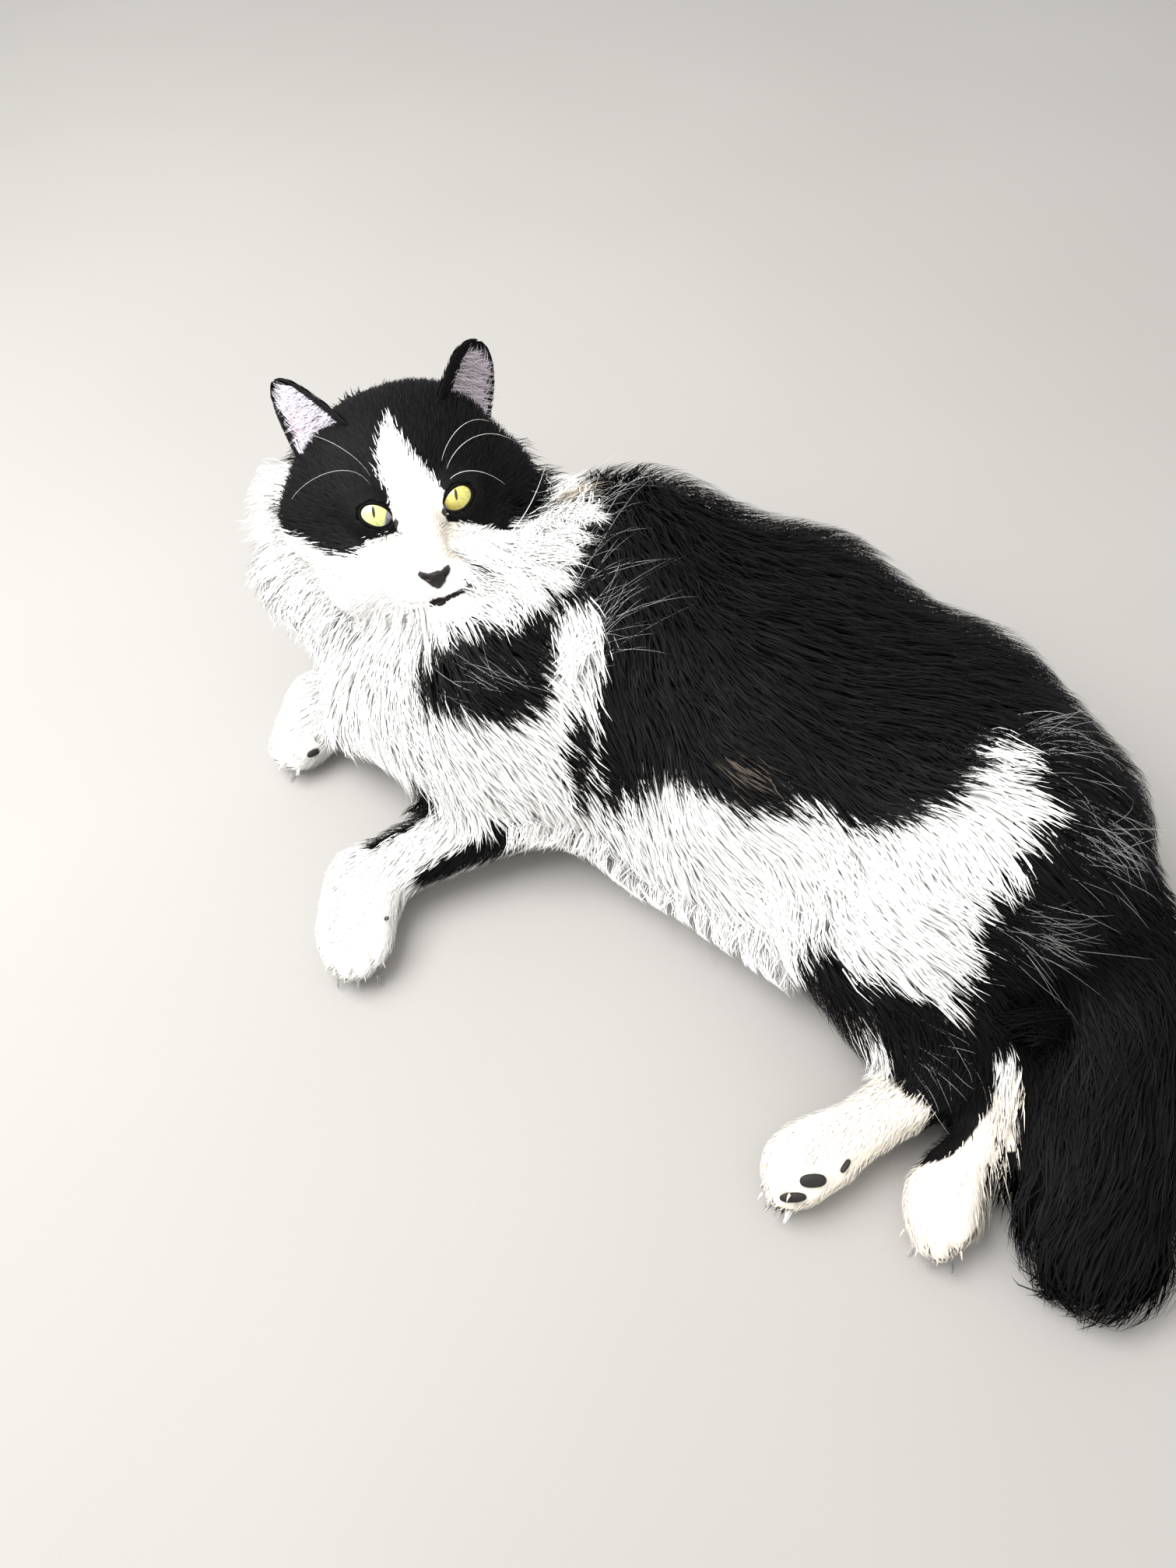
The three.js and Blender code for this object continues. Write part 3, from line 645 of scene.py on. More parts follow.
NOSE_EDGE = [(0, -34.4), (3.2, -34.8), (5.4, -33.8), (7.2, -32.9), (8.3, -33.5), (8.4, -35.2), (6.9, -37.0),
             (5.2, -38.4), (4.0, -40.0), (2.6, -41.6), (1.2, -42.7), (0, -43.4)]
NOSE_EDGE += [(-a, b) for a, b in NOSE_EDGE[-2:0:-1]]
WHISKER_SPOTS = [(25.5, -37.0), (27.0, -39.3), (28.0, -41.6), (24.0, -41.0), (22.5, -38.6)]
LIP = [(-4.5, -50.2), (2, -49.7), (9.5, -48.0), (15.2, -47.0), (20.4, -45.6)]


def inside(spots, corners):
    """How far inside a closed outline each spot is, in the outline's unit. Below 0 is outside."""
    x, y = spots[:, 0], spots[:, 1]
    best, within = np.full(len(spots), 1e9), np.zeros(len(spots), bool)
    for (ax, ay), (bx, by) in zip(corners, corners[1:] + corners[:1]):
        t = np.clip(((x - ax) * (bx - ax) + (y - ay) * (by - ay)) / ((bx - ax) ** 2 + (by - ay) ** 2), 0, 1)
        best = np.minimum(best, np.hypot(x - ax - t * (bx - ax), y - ay - t * (by - ay)))
        if ay != by:
            within ^= ((ay > y) != (by > y)) & (x < ax + (y - ay) * (bx - ax) / (by - ay))
    return np.where(within, best, -best)


def black_inside(points, solids):
    """How far inside the black a place is, in mm. Below 0 is white."""
    mm = points / MM - PLAN_FROM
    plan = mm[:, :2]
    d = inside(plan, BACK)
    for patch, height in HIGH_PATCHES:
        d = np.maximum(d, np.minimum(inside(plan, patch), mm[:, 2] - height))
    for end, other, half in FORELEG_BLACK:
        d = np.maximum(d, -bar(mm, end, other, half, half))
    d = np.maximum(d, np.minimum(mm[:, 1] - BEHIND_SHOULDERS, mm[:, 2] - BEHIND_ABOVE))
    q = on_face(points)
    face_line = np.interp(q[:, 0], *np.transpose(MASK_EDGE))
    mask = np.maximum(np.minimum(q[:, 1] - face_line, 40), -40)
    mask = np.where(q[:, 2] > -40, np.minimum(mask, -inside(q[:, :2], BLAZE)), mask)
    # The black cap goes on over the nape and down beside it, and ends at the ruff.
    nape = np.minimum(q[:, 1] - 12, 62 - np.abs(q[:, 0]))
    beside = np.minimum(q[:, 1] - face_line, 77 - q[:, 0])
    nape = np.where((q[:, 0] > 30) & (q[:, 2] > -95), np.maximum(nape, beside), nape)
    names = np.array(OUTLINE)[solids]
    d = np.where(names == "head", mask, d)
    neck = (names == "neck") | (names == "chest")
    high_neck = neck & (q[:, 2] > -105) & (np.hypot(q[:, 0], q[:, 1]) < 100) & (q[:, 1] > -30)
    back_of_neck = np.maximum(nape, np.where(q[:, 0] < 60, -9, d))
    d = np.where(high_neck, np.where(q[:, 2] > -70, mask, back_of_neck), d)
    behind = neck & (q[:, 2] <= -80) & (q[:, 2] > -160) & (q[:, 1] > -14) & (np.abs(q[:, 0] + 6) < 66)
    d = np.where(behind & (q[:, 1] > 12 + 0.9 * (q[:, 2] + 80)), np.maximum(d, 5), d)
    d = np.where((names == "neck") & (q[:, 0] > 15), np.maximum(d, inside(q[:, :2], RUFF_EDGE)), d)
    # All of the tail is black, and the hips where it leaves them.
    hip = (names == "rump") | np.char.startswith(names, "thigh")
    by_tail = hip & (plan[:, 0] > 112) & (plan[:, 1] < -96)
    by_tail |= (names == "shank_right") & (plan[:, 0] > 147)
    return np.where(np.char.startswith(names, "tail") | by_tail, 20, d)


BLACK, WHITE, CREAM = (0.0048, 0.0043, 0.0044), (0.93, 0.925, 0.905), (0.88, 0.80, 0.68)
TAN, GREY_BROWN, LIP_DARK = (0.40, 0.34, 0.26), (0.060, 0.050, 0.040), (0.016, 0.012, 0.012)
RAGGED = 5.0  # mm, how far black and white hairs mix along an edge
BROWN_PLACE, BROWN_HALF = (18, 0, 112), (26, 15, 14)  # where brown hairs stand among the black of the back
CUSHION_HALF = 35  # mm, the dark lip and spots lie within this of the midline


def colours(points, solids, luck):
    """Colour of hair or hide at each place. luck is a few random numbers for each."""
    d = black_inside(points, solids)
    names = np.array(OUTLINE)[solids]
    q = on_face(points)
    black = d + (luck[:, 0] - 0.5) * np.where(names == "head", RAGGED * 1.1, RAGGED) > 0
    warm = 0.8 * np.char.startswith(names, "hind_foot") + 0.15 * np.char.startswith(names, "forepaw")
    # The hind feet are cream. The cat's left of the bridge of the nose is painted cream as well: painted warm
    # bounce light from the floor, lying in the shade there.
    bridge_bounce_light = step(q[:, 0], 2, 7) * step(-q[:, 0], -24, -14) * step(q[:, 1], -38, -30) * step(-q[:, 1], -2, 4)
    warm = np.maximum(warm, 0.75 * bridge_bounce_light * (names == "head"))[:, None]
    white = (np.array(WHITE) * (1 - warm) + np.array(CREAM) * warm) * (0.95 + 0.07 * luck[:, 1:2])
    dark = np.array(BLACK) * (0.65 + 1.3 * luck[:, 1:2] ** 3)
    out = np.where(black[:, None], dark, white)
    mm = points / MM - PLAN_FROM
    brown = step(-np.linalg.norm((mm - BROWN_PLACE) / BROWN_HALF, axis=1), -1.0, -0.3)
    out = np.where((luck[:, 0] < 0.75 * brown)[:, None], GREY_BROWN * (0.5 + 1.2 * luck[:, 1:2]), out)
    lip = strip(q, LIP) + (luck[:, 0] - 0.5) * 0.8 < 1.9 - 0.05 * (q[:, 0] + 4)
    for spot in WHISKER_SPOTS:
        lip |= np.hypot(q[:, 0] - spot[0], (q[:, 1] - spot[1]) * 1.8) < 0.9
    lip |= (q[:, 2] > 8) & (inside(q[:, :2], NOSE_EDGE) > -0.3)
    return np.where((lip & (q[:, 2] > -12) & (np.abs(q[:, 0]) < CUSHION_HALF))[:, None], LIP_DARK, out)


class Wire:
    """One socket in a material's nodes. Sums and products of wires add their own Math nodes."""

    def __init__(self, tree, socket=None):
        self.tree, self.socket = tree, socket

    def node(self, kind, settings, sockets, out=0):
        """Adds a node: its settings first, then the values or wires of its sockets."""
        made = self.tree.nodes.new(kind)
        for name, value in settings.items():
            setattr(made, name, value)
        for name, value in sockets.items():
            if isinstance(value, Wire):
                self.tree.links.new(value.socket, made.inputs[name])
            else:
                made.inputs[name].default_value = value
        return Wire(self.tree, made.outputs[out])

    def math(self, operation, *values):
        return self.node("ShaderNodeMath", {"operation": operation}, dict(enumerate(values)))

    def __add__(self, other):
        return self.math("ADD", self, other)

    def __sub__(self, other):
        return self.math("SUBTRACT", self, other)

    def __rsub__(self, other):
        return self.math("SUBTRACT", other, self)

    def __mul__(self, other):
        return self.math("MULTIPLY", self, other)

    def __truediv__(self, other):
        return self.math("DIVIDE", self, other)

    def __pow__(self, other):
        return self.math("POWER", self, other)

    __radd__, __rmul__ = __add__, __mul__

    def between(self, low, high):
        """0 below low, 1 above high, and smooth between."""
        return self.node("ShaderNodeMapRange", {"interpolation_type": "SMOOTHSTEP"},
                         {"Value": self, "From Min": low, "From Max": high})

    def mix(self, share, first, second):
        return self.node("ShaderNodeMix", {"data_type": "RGBA"}, {0: share, 6: first, 7: second}, 2)

    def scaled(self, tone):
        return self.node("ShaderNodeVectorMath", {"operation": "SCALE"}, {0: self, "Scale": tone})

    def noise(self, place, scale, detail=3.0):
        return self.node("ShaderNodeTexNoise", {}, {"Vector": place, "Scale": scale, "Detail": detail})


def finish(name, **constants):
    """A new material: a wire to make its nodes with, the surface's place, and its shader."""
    mat = bpy.data.materials.new(name)
    mat.use_nodes = True
    shader = mat.node_tree.nodes["Principled BSDF"]
    for socket, value in constants.items():
        shader.inputs[socket.replace("_", " ")].default_value = value
    wire = Wire(mat.node_tree)
    return mat, wire, wire.node("ShaderNodeTexCoord", {}, {}, "Object"), shader


def set_surface(wire, shader, colour, roughness, height=None, depth=0.3 * MM):
    """Gives the shader its colour and roughness, and a bump of that height in metres."""
    wire.tree.links.new(colour.socket, shader.inputs["Base Color"])
    wire.tree.links.new(roughness.socket, shader.inputs["Roughness"])
    if height:
        bump = wire.node("ShaderNodeBump", {}, {"Strength": 1.0, "Distance": depth, "Height": height})
        wire.tree.links.new(bump.socket, shader.inputs["Normal"])


co = numbers(skin_mesh.vertices, "co", 3).astype(float)
vert_count = len(co)
hide = colours(co, solid_at(co), np.full((vert_count, 2), 0.5))
at = vert_count - sum(len(v) for _, v, _ in extras)
EAR_PINK, EAR_DEEP = np.array((0.40, 0.28, 0.32)), np.array((0.13, 0.055, 0.055))
LID_BLACK = (0.003, 0.0025, 0.0025)
for k, (kind, verts, _) in enumerate(extras):
    n = len(verts)
    hide[at:at + n] = BLACK if kind == EAR else LID_BLACK
    if kind == EAR:
        t, h = (g.reshape(-1, 1) for g in ear_grid())
        rim = np.maximum(step(np.abs(t), 0.74, 0.86), step(h, 0.82, 0.91))
        rim = np.maximum(rim, step(-t, 0.1, 0.45) if k == 1 else step(-t, 0.70, 0.88))
        inner = EAR_DEEP + (EAR_PINK - EAR_DEEP) * step(h + 0.25 * t, 0.22, 0.55)
        hide[at:at + n // 2] = inner * (1 - rim) + np.array(BLACK) * rim
    at += n
rgba = np.concatenate([hide, np.ones((vert_count, 1))], 1).astype(np.float32)
skin_mesh.attributes.new("coat", "FLOAT_COLOR", "POINT").data.foreach_set("color", rgba.ravel())

hide_finish, wire, place, shader = finish("hide", Specular_IOR_Level=0.08)
coat_colour = wire.node("ShaderNodeAttribute", {"attribute_name": "coat"}, {})
mottle = wire.noise(place, 240.0)
pores = wire.noise(place, 1500.0, 1.0)
set_surface(wire, shader, coat_colour.scaled(0.84 + 0.26 * mottle), 0.55 + 0.25 * pores,
            pores * 0.5 + mottle, 0.25 * MM)
skin_mesh.materials.append(hide_finish)

# ---- Eyes: moist balls with a yellow-green iris, a slit pupil and a dark rim ----
# Each sits in its socket behind the lids, looking a little up and to the cat's right.
GAZE = unit((-0.105, 0.12, 0.99))
# The cat's left iris is painted darker than its right: painted shade, because that side of the face is turned
# away from the light.
IRIS = {-1: ((0.46, 0.48, 0.12, 1), (0.72, 0.74, 0.33, 1)), 1: ((0.33, 0.30, 0.05, 1), (0.62, 0.60, 0.17, 1))}
AMBER, RIM_GREEN = (0.30, 0.21, 0.03, 1), (0.05, 0.045, 0.012, 1)
THIRD_LID, PUPIL = (0.20, 0.18, 0.21, 1), (0.002, 0.002, 0.002, 1)
THIRD_LID_EDGE = {-1: (5.8, 6.3), 1: (6.9, 7.3)}  # mm, where it begins on each eyeball
IRIS_RADIUS, PUPIL_HALF, PUPIL_LEAN = 8.9, (0.75, 2.9), 0.09  # mm, and how far the slit leans


def show(name, me, material):
    """Makes a mesh a piece of the cat."""
    me.materials.append(material)
    piece = bpy.data.objects.new(name, me)
    bpy.context.collection.objects.link(piece)
    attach(piece, "root")
    return piece


def mesh_piece(name, verts, faces, material):
    me = bpy.data.meshes.new(name)
    me.from_pydata([tuple(v) for v in verts], [], faces)
    me.polygons.foreach_set("use_smooth", [True] * len(me.polygons))
    me.update()
    return show(name, me, material)


def ball_faces(rings, around):
    """Faces of a ball made of a first point, rings round its axis, and a last point."""
    faces = [(0, 1 + (i + 1) % around, 1 + i) for i in range(around)]
    for k in range(rings - 1):
        for i in range(around):
            j = (i + 1) % around
            a, b = 1 + k * around, 1 + (k + 1) * around
            faces.append((a + i, a + j, b + j, b + i))
    a = 1 + (rings - 1) * around
    return faces + [(a + i, a + (i + 1) % around, a + around) for i in range(around)]


def ball(tilts, around):
    """Places of a ball of radius 1: its first point, rings at those tilts from it, and its last point."""
    places = [(0, 0, 1.0)]
    for tilt in tilts:
        for turn in turns(around):
            places.append((math.sin(tilt) * math.cos(turn), math.sin(tilt) * math.sin(turn), math.cos(tilt)))
    return np.array(places + [(0, 0, -1.0)])


EYE_RINGS, EYE_AROUND = 29, 56
EYE_RIGHTWARD = unit(np.cross((0, 1, 0), GAZE))
EYE_FRAME = np.array([EYE_RIGHTWARD, np.cross(GAZE, EYE_RIGHTWARD), GAZE])
for s, node in ((-1, "eye_right"), (1, "eye_left")):
    local = ball(np.pi * np.linspace(0, 1, EYE_RINGS + 2)[1:-1] ** 1.25, EYE_AROUND) * EYE_RADIUS
    verts = off_face(eye_at(s) + local @ EYE_FRAME)
    eye_finish, wire, _, shader = finish(node, Coat_Weight=1.0, Coat_Roughness=0.02, Specular_IOR_Level=0.3)
    spot = wire.node("ShaderNodeAttribute", {"attribute_name": "from_middle"}, {}, 1)
    parts = wire.node("ShaderNodeSeparateXYZ", {}, {0: spot})
    x, y = parts, Wire(wire.tree, parts.socket.node.outputs[1])
    far = (x * x + y * y) ** 0.5
    # Rays run out from the middle, with finer fibres between them.
    turned = wire.node("ShaderNodeCombineXYZ", {}, {0: x / (far + 0.3), 1: y / (far + 0.3), 2: far * 0.06})
    rays = wire.noise(turned, 9.0, 3.0)
    fibre = wire.noise(turned, 26.0, 2.0)
    iris = wire.mix((rays * 0.7 + fibre * 0.5).between(0.38, 0.78), *IRIS[s])
    near_pupil = (x * x * 0.9 + y * y * 0.16) ** 0.5
    iris = wire.mix(near_pupil.between(3.4, 1.2) * 0.35, iris, IRIS[s][0])
    if s > 0:  # amber towards the nose and below
        iris = wire.mix((x * 0.6 + y * 0.8).between(-1.5, -6.5) * 0.8, iris, AMBER)
    iris = wire.mix(far.between(IRIS_RADIUS - 2.2, IRIS_RADIUS - 0.2) * 0.75, iris, RIM_GREEN)
    slit = ((x - y * PUPIL_LEAN) / PUPIL_HALF[0]) ** 2 + ((y - 0.5) / PUPIL_HALF[1]) ** 2
    colour = wire.mix(slit.between(0.85, 1.15), PUPIL, iris)
    colour = wire.mix(far.between(IRIS_RADIUS, IRIS_RADIUS + 0.3), colour, PUPIL)
    inner = x * (-s) * 0.92 - y * 0.39  # towards the inner corner
    colour = wire.mix(inner.between(*THIRD_LID_EDGE[s]), colour, THIRD_LID)
    set_surface(wire, shader, colour, 0.18 + 0.1 * fibre)
    piece = mesh_piece(node + "_ball", verts, ball_faces(EYE_RINGS, EYE_AROUND), eye_finish)
    piece.data.attributes.new("from_middle", "FLOAT_VECTOR", "POINT").data.foreach_set(
        "vector", local.astype(np.float32).ravel())
    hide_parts(node)

# ---- Tear corners: a dark, moist groove that runs from each eye's inner corner down the nose ----
# It is bare skin, black above and dull red at its lower end.
TEAR_LINE = [(8.3, -3.2), (9.3, -6.0), (9.0, -9.2), (8.5, -12.4)]  # mm from the eye's middle: to the nose, up
TEAR_WIDE, TEAR_LIFT = (0.7, 1.5, 1.2, 0.3), 2.0
corner_finish, wire, place, shader = finish("tear_corner", Coat_Weight=0.6, Coat_Roughness=0.15)
ramp_place = wire.node("ShaderNodeAttribute", {"attribute_name": "along"}, {}, 2)
flesh = wire.mix(ramp_place.between(0.45, 0.85), (0.008, 0.006, 0.006, 1), (0.16, 0.025, 0.022, 1))
film = wire.noise(place, 1800.0, 2.0)
set_surface(wire, shader, flesh.scaled(0.8 + 0.4 * film), 0.3 + 0.2 * film, film, 0.1 * MM)


def part_way(line, steps):
    """The numbers of a line's places at those steps along it, 0 at its first place, 1 at the next."""
    return np.array([np.interp(steps, range(len(line)), v) for v in np.transpose(line)])


def tube_faces(base, rings, around):
    """Faces of a closed tube made of rings of places."""
    faces = []
    for k in range(rings - 1):
        for i in range(around):
            a, b = base + k * around + i, base + k * around + (i + 1) % around
            faces.append((a, b, b + around, a + around))
    first = tuple(base + around - 1 - i for i in range(around))
    return faces + [first, tuple(base + (rings - 1) * around + i for i in range(around))]


RIDGE_RINGS, RIDGE_AROUND = 17, 10


def ridges(name, lines, material):
    """Low moist ridges on the face's skin, each along a line of places with half widths and lifts, in mm."""
    verts, faces, alongs = [], [], []
    for line in lines:
        t = np.linspace(0, 1, RIDGE_RINGS)
        a, b, wide, lift = part_way(line, t * (len(line) - 1))
        faces += tube_faces(len(verts), RIDGE_RINGS, RIDGE_AROUND)
        for i in range(RIDGE_RINGS):
            before, after = max(i - 1, 0), min(i + 1, RIDGE_RINGS - 1)
            across = unit(np.array((b[before] - b[after], a[after] - a[before])))
            for turn in turns(RIDGE_AROUND):
                spot = skin_above(*(np.array((a[i], b[i])) + across * wide[i] * math.cos(turn)))
                verts.append(off_face(spot + (0, 0, lift[i] * (0.5 + 0.7 * math.sin(turn)))))
                alongs.append(t[i])
    piece = mesh_piece(name, verts, faces, material)
    piece.data.attributes.new("along", "FLOAT", "POINT").data.foreach_set("value", alongs)
    bm = bmesh.new()
    bm.from_mesh(piece.data)
    bmesh.ops.recalc_face_normals(bm, faces=bm.faces)
    bm.to_mesh(piece.data)
    bm.free()


tear_lines = []
for s in (-1, 1):
    x, y, _ = eye_at(s)
    tear_lines.append([(x - s * a, y + b, wide, TEAR_LIFT) for (a, b), wide in zip(TEAR_LINE, TEAR_WIDE)])
ridges("tear_corners", tear_lines, corner_finish)

# ---- Lip: the bare black edge of the mouth, which shows below the whisker cushions ----
# It curves up at the cat's left, where the cushion is lifted, and thins towards the corner.
lip_finish, wire, place, shader = finish("lip", Specular_IOR_Level=0.2)
grain = wire.noise(place, 1300.0, 2.0)
set_surface(wire, shader, wire.mix(grain, (0.005, 0.004, 0.004, 1), (0.012, 0.009, 0.009, 1)),
            0.4 + 0.2 * grain, grain, 0.15 * MM)
LIP_RIDGE = [(-6, -50.8, 0.3, 1.2), (-2, -51.4, 1.6, 3.0), (2.5, -50.9, 2.6, 3.4), (9.5, -49.0, 2.4, 3.4),
             (15.2, -47.2, 1.8, 3.2), (20.4, -45.0, 1.2, 2.6), (24.5, -42.8, 0.3, 1.4)]
ridges("lip", [LIP_RIDGE], lip_finish)

# ---- Nose leather: bare pebbled skin round the nostrils, black and a little moist ----
# It is drawn over the tip of the nose, wide above and running down to the cleft of the lip.
NOSTRIL, NOSTRIL_DEEP = (4.9, -37.0), 1.9
NOSE_DARK, NOSE_DAMP = (0.006, 0.0045, 0.0045, 1), (0.016, 0.012, 0.012, 1)
rounded = []
for (a0, b0), (a1, b1) in zip(NOSE_EDGE, NOSE_EDGE[1:] + NOSE_EDGE[:1]):
    rounded += [(a0, b0), ((a0 + a1) / 2, (b0 + b1) / 2)]
rounded = np.array(rounded)
rounded = (np.roll(rounded, 1, 0) + 2 * rounded + np.roll(rounded, -1, 0)) / 4
NOSE_HEART = np.array((0, -37.2))
crowned = np.linspace(0.08, 0.9, 12)
shares = np.concatenate([crowned, [0.96, 1.0, 1.03, 1.0]])  # rings, as parts of the way to the edge
lifts = np.concatenate([np.sqrt(1 - crowned ** 2) * 1.3 + 1.35, [1.7, 1.2, 0.1, -1.2]])
ring_spots = [NOSE_HEART[None]] + [NOSE_HEART + (rounded - NOSE_HEART) * k for k in shares]
ring_lifts = [2.65] + [[lift] * len(rounded) for lift in lifts]
flat_spots = np.concatenate(ring_spots)
raised = skin_above(flat_spots[:, 0], flat_spots[:, 1])
raised[:, 2] += np.concatenate([np.atleast_1d(v) for v in ring_lifts])
for s in (-1, 1):
    off = raised[:, :2] - (s * NOSTRIL[0], NOSTRIL[1])
    off = np.stack([off[:, 0] * 0.9 + s * off[:, 1] * 0.5, off[:, 1] * 0.9 - s * off[:, 0] * 0.5], -1)
    raised[:, 2] -= NOSTRIL_DEEP * np.exp(-(off[:, 0] / 1.7) ** 2 - (off[:, 1] / 0.95) ** 2)
raised[:, 2] -= 0.5 * np.exp(-(raised[:, 0] / 0.5) ** 2) * step(-raised[:, 1], 36.5, 38.5)
n = len(rounded)
raised = np.concatenate([raised, [raised[-n:].mean(0) - (0, 0, 1.5)]])
nose_faces = ball_faces(len(shares), n)
nose_finish, wire, place, shader = finish(
    "nose_leather", Specular_IOR_Level=0.22, Coat_Weight=0.06, Coat_Roughness=0.3)
pebbles = wire.noise(place, 1900.0, 2.0)
damp = wire.noise(place, 260.0, 2.0)
set_surface(wire, shader, wire.mix(damp, NOSE_DARK, NOSE_DAMP), 0.36 + 0.2 * damp, pebbles, 0.30 * MM)
nose_piece = mesh_piece("nose_leather", off_face(raised), nose_faces, nose_finish)
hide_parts("nose")

# ---- Foot pads: thick bare cushions under the toes and the ball of each foot ----
# Four toe pads and a broad sole pad to a foot, black and pebbled, with their edges under the fur.
PADS = [  # middle in plan mm, the way it runs, half sizes
    ((38.1, -175.1, 29.1), (1, 0, 0), (6.5, 3.4)),
    ((28.1, -181.7, 24.8), (1, 0.05, 0), (6.5, 2.5)),
    ((55.3, -168.6, 28.2), (0.6, 0.65, 0.3), (3.8, 1.2)),
    ((-221.3, 101.5, 27.3), (0.9, 0.45, 0), (4.4, 3.1)),
    ((-226.3, 94.7, 21.6), (0.83, 0.54, -0.14), (4.4, 2.2)),
    ((-209, 108, 24), (0.3, 0.8, 0.3), (5.5, 4.0)),
    ((118, -200, 8), (0.8, 0.5, 0.3), (3.6, 1.6)),
    ((-173.8, -23.4, 28.1), (0.3, 1, 0), (1.2, 0.9)),
]
UNDER_PADS = [  # of a foot that stands flat: along and across it, and half sizes, as parts of its length
    (0.62, -0.5, 0.13, 0.10), (0.74, -0.18, 0.13, 0.10), (0.74, 0.18, 0.13, 0.10), (0.62, 0.5, 0.13, 0.10),
    (0.15, 0.0, 0.20, 0.34)]
for name in ("forepaw_left", "hind_foot_right"):
    place, axes, radii = paw_frame(name)
    for f, g, long, broad in UNDER_PADS:
        spot = place / MM + axes[0] * f * radii[0] + axes[1] * g * radii[1] + axes[2] * radii[2] - PLAN_FROM
        PADS.append((spot, axes[0], (long * radii[0], broad * radii[0])))
pad_finish, wire, place, shader = finish("pad", Specular_IOR_Level=0.35)
pebbles = wire.noise(place, 1400.0, 2.0)
worn = wire.noise(place, 160.0, 2.0)
set_surface(wire, shader, wire.mix(worn, (0.007, 0.0065, 0.007, 1), (0.022, 0.018, 0.018, 1)),
            0.55 + 0.2 * pebbles, pebbles, 0.35 * MM)
PAD_HIGH, PAD_RINGS, PAD_AROUND = 1.7, 10, 20
PAD_CLEARANCE = 0.2 * MM  # over the floor
verts, faces, pad_spots = [], [], []
for spot, ahead, half in PADS:
    spot = settle(((np.array(spot, float) + PLAN_FROM) * MM)[None], 1.1 * MM, 5)[0]
    out = unit(near_slope(spot[None], 1.5 * MM))[0]
    ahead = unit(np.array(ahead, float) - out * (np.array(ahead, float) @ out))
    beside = np.cross(out, ahead)
    half = np.array((half[0], half[1], PAD_HIGH)) * MM
    pad_spots.append((spot, half[0], half[1]))
    faces += [tuple(len(verts) + i for i in f) for f in ball_faces(PAD_RINGS, PAD_AROUND)]
    for e in ball(np.linspace(0, np.pi, PAD_RINGS + 2)[1:-1], PAD_AROUND):
        e[:2] = np.sign(e[:2]) * np.abs(e[:2]) ** 0.85
        verts.append(spot + ahead * e[0] * half[0] + beside * e[1] * half[1] + out * e[2] * half[2])
verts = np.array(verts)
verts[:, 2] = np.maximum(verts[:, 2], PAD_CLEARANCE)
mesh_piece("pads", verts, faces, pad_finish)

# ---- Coat: the fur itself, as thin tapered tufts rooted in the hide and lying along it ----
# Each tuft is a closed sliver that curves up to the outline and ends in a point. Neighbours are drawn
# together into locks, and their shading leans on the hide's own curve, so that the coat looks soft.
skin_mesh.calc_loop_triangles()
tri_verts = numbers(skin_mesh.loop_triangles, "vertices", 3, np.int32)
tri_loops = numbers(skin_mesh.loop_triangles, "loops", 3, np.int32)
tri_face = numbers(skin_mesh.loop_triangles, "polygon_index", 1, np.int32)[:, 0]
hide_uv = numbers(skin_mesh.uv_layers["OFBake"].data, "uv", 2)
on_body = kinds[tri_face] == BODY
tri_corners = co[tri_verts]
tri_out = np.cross(tri_corners[:, 1] - tri_corners[:, 0], tri_corners[:, 2] - tri_corners[:, 0])
tri_area = np.linalg.norm(tri_out, axis=1) / 2
tri_out /= 2 * tri_area[:, None] + 1e-12
tri_mid = tri_corners.mean(1)
tri_solid = solid_at(tri_mid)
tri_name = np.array(OUTLINE)[tri_solid]
hide_tree = tree_of(tri_mid)

# Tufts to the square centimetre of hide. Where the body lies on the floor the coat is pressed and thin.
DENSITY = {"head": 74, "neck": 26, "chest": 20, "belly": 20, "rump": 20, "shoulder_left": 23,
           "thigh_left": 20, "thigh_right": 16, "forearm": 34, "forepaw": 46, "shank": 34, "hind_foot": 46,
           "tail": 21}
PRESSED, PRESSED_BELOW = 0.22, 0.03  # share of the tufts left there, and up to what height in metres
NAPE_SHARE, NAPE_BEHIND = 0.5, -62  # the ruff covers the back of the head, beyond this in the face's axes
density = np.zeros(len(tri_verts))
for key, value in DENSITY.items():
    density[np.char.startswith(tri_name, key)] = value
density[~on_body] = 0
density[(tri_out[:, 2] < -0.35) & (tri_mid[:, 2] < PRESSED_BELOW)] *= PRESSED
density[(tri_name == "head") & (on_face(tri_mid)[:, 2] < NAPE_BEHIND)] *= NAPE_SHARE


def uv_near(points):
    """The hide's map at the nearest place of the hide."""
    return np.array([hide_uv[tri_loops[hide_tree.find(p)[1], 0]] for p in points])


def root_places(chosen, rng):
    """Places spread over the chosen hide by its density, with their map places and solids."""
    weight = np.where(chosen, tri_area * 1e4 * density, 0)
    total = np.cumsum(weight)
    n = int(total[-1])
    t = np.searchsorted(total, (np.arange(n) + rng.random(n)) * total[-1] / n)
    t = np.minimum(t, len(tri_verts) - 1)
    a, b = rng.random(n), rng.random(n)
    flip = a + b > 1
    a, b = np.where(flip, 1 - a, a), np.where(flip, 1 - b, b)
    w = np.stack([1 - a - b, a, b], -1)[..., None]
    return (tri_corners[t] * w).sum(1), (hide_uv[tri_loops[t]] * w).sum(1), tri_solid[t]


def drift(points, size, seed):
    """A smooth wandering direction at each place, which turns over about that length."""
    rng = np.random.default_rng(seed)
    total = 0
    for _ in range(7):
        wave = unit(rng.normal(size=3)) * 2 * np.pi / (size * (0.7 + 0.8 * rng.random()))
        total = total + unit(rng.normal(size=3)) * np.sin(points @ wave + 2 * np.pi * rng.random())[..., None]
    return total / 2.2


ROOT_DEPTH, FLOOR_GAP = 0.6 * MM, 0.4 * MM


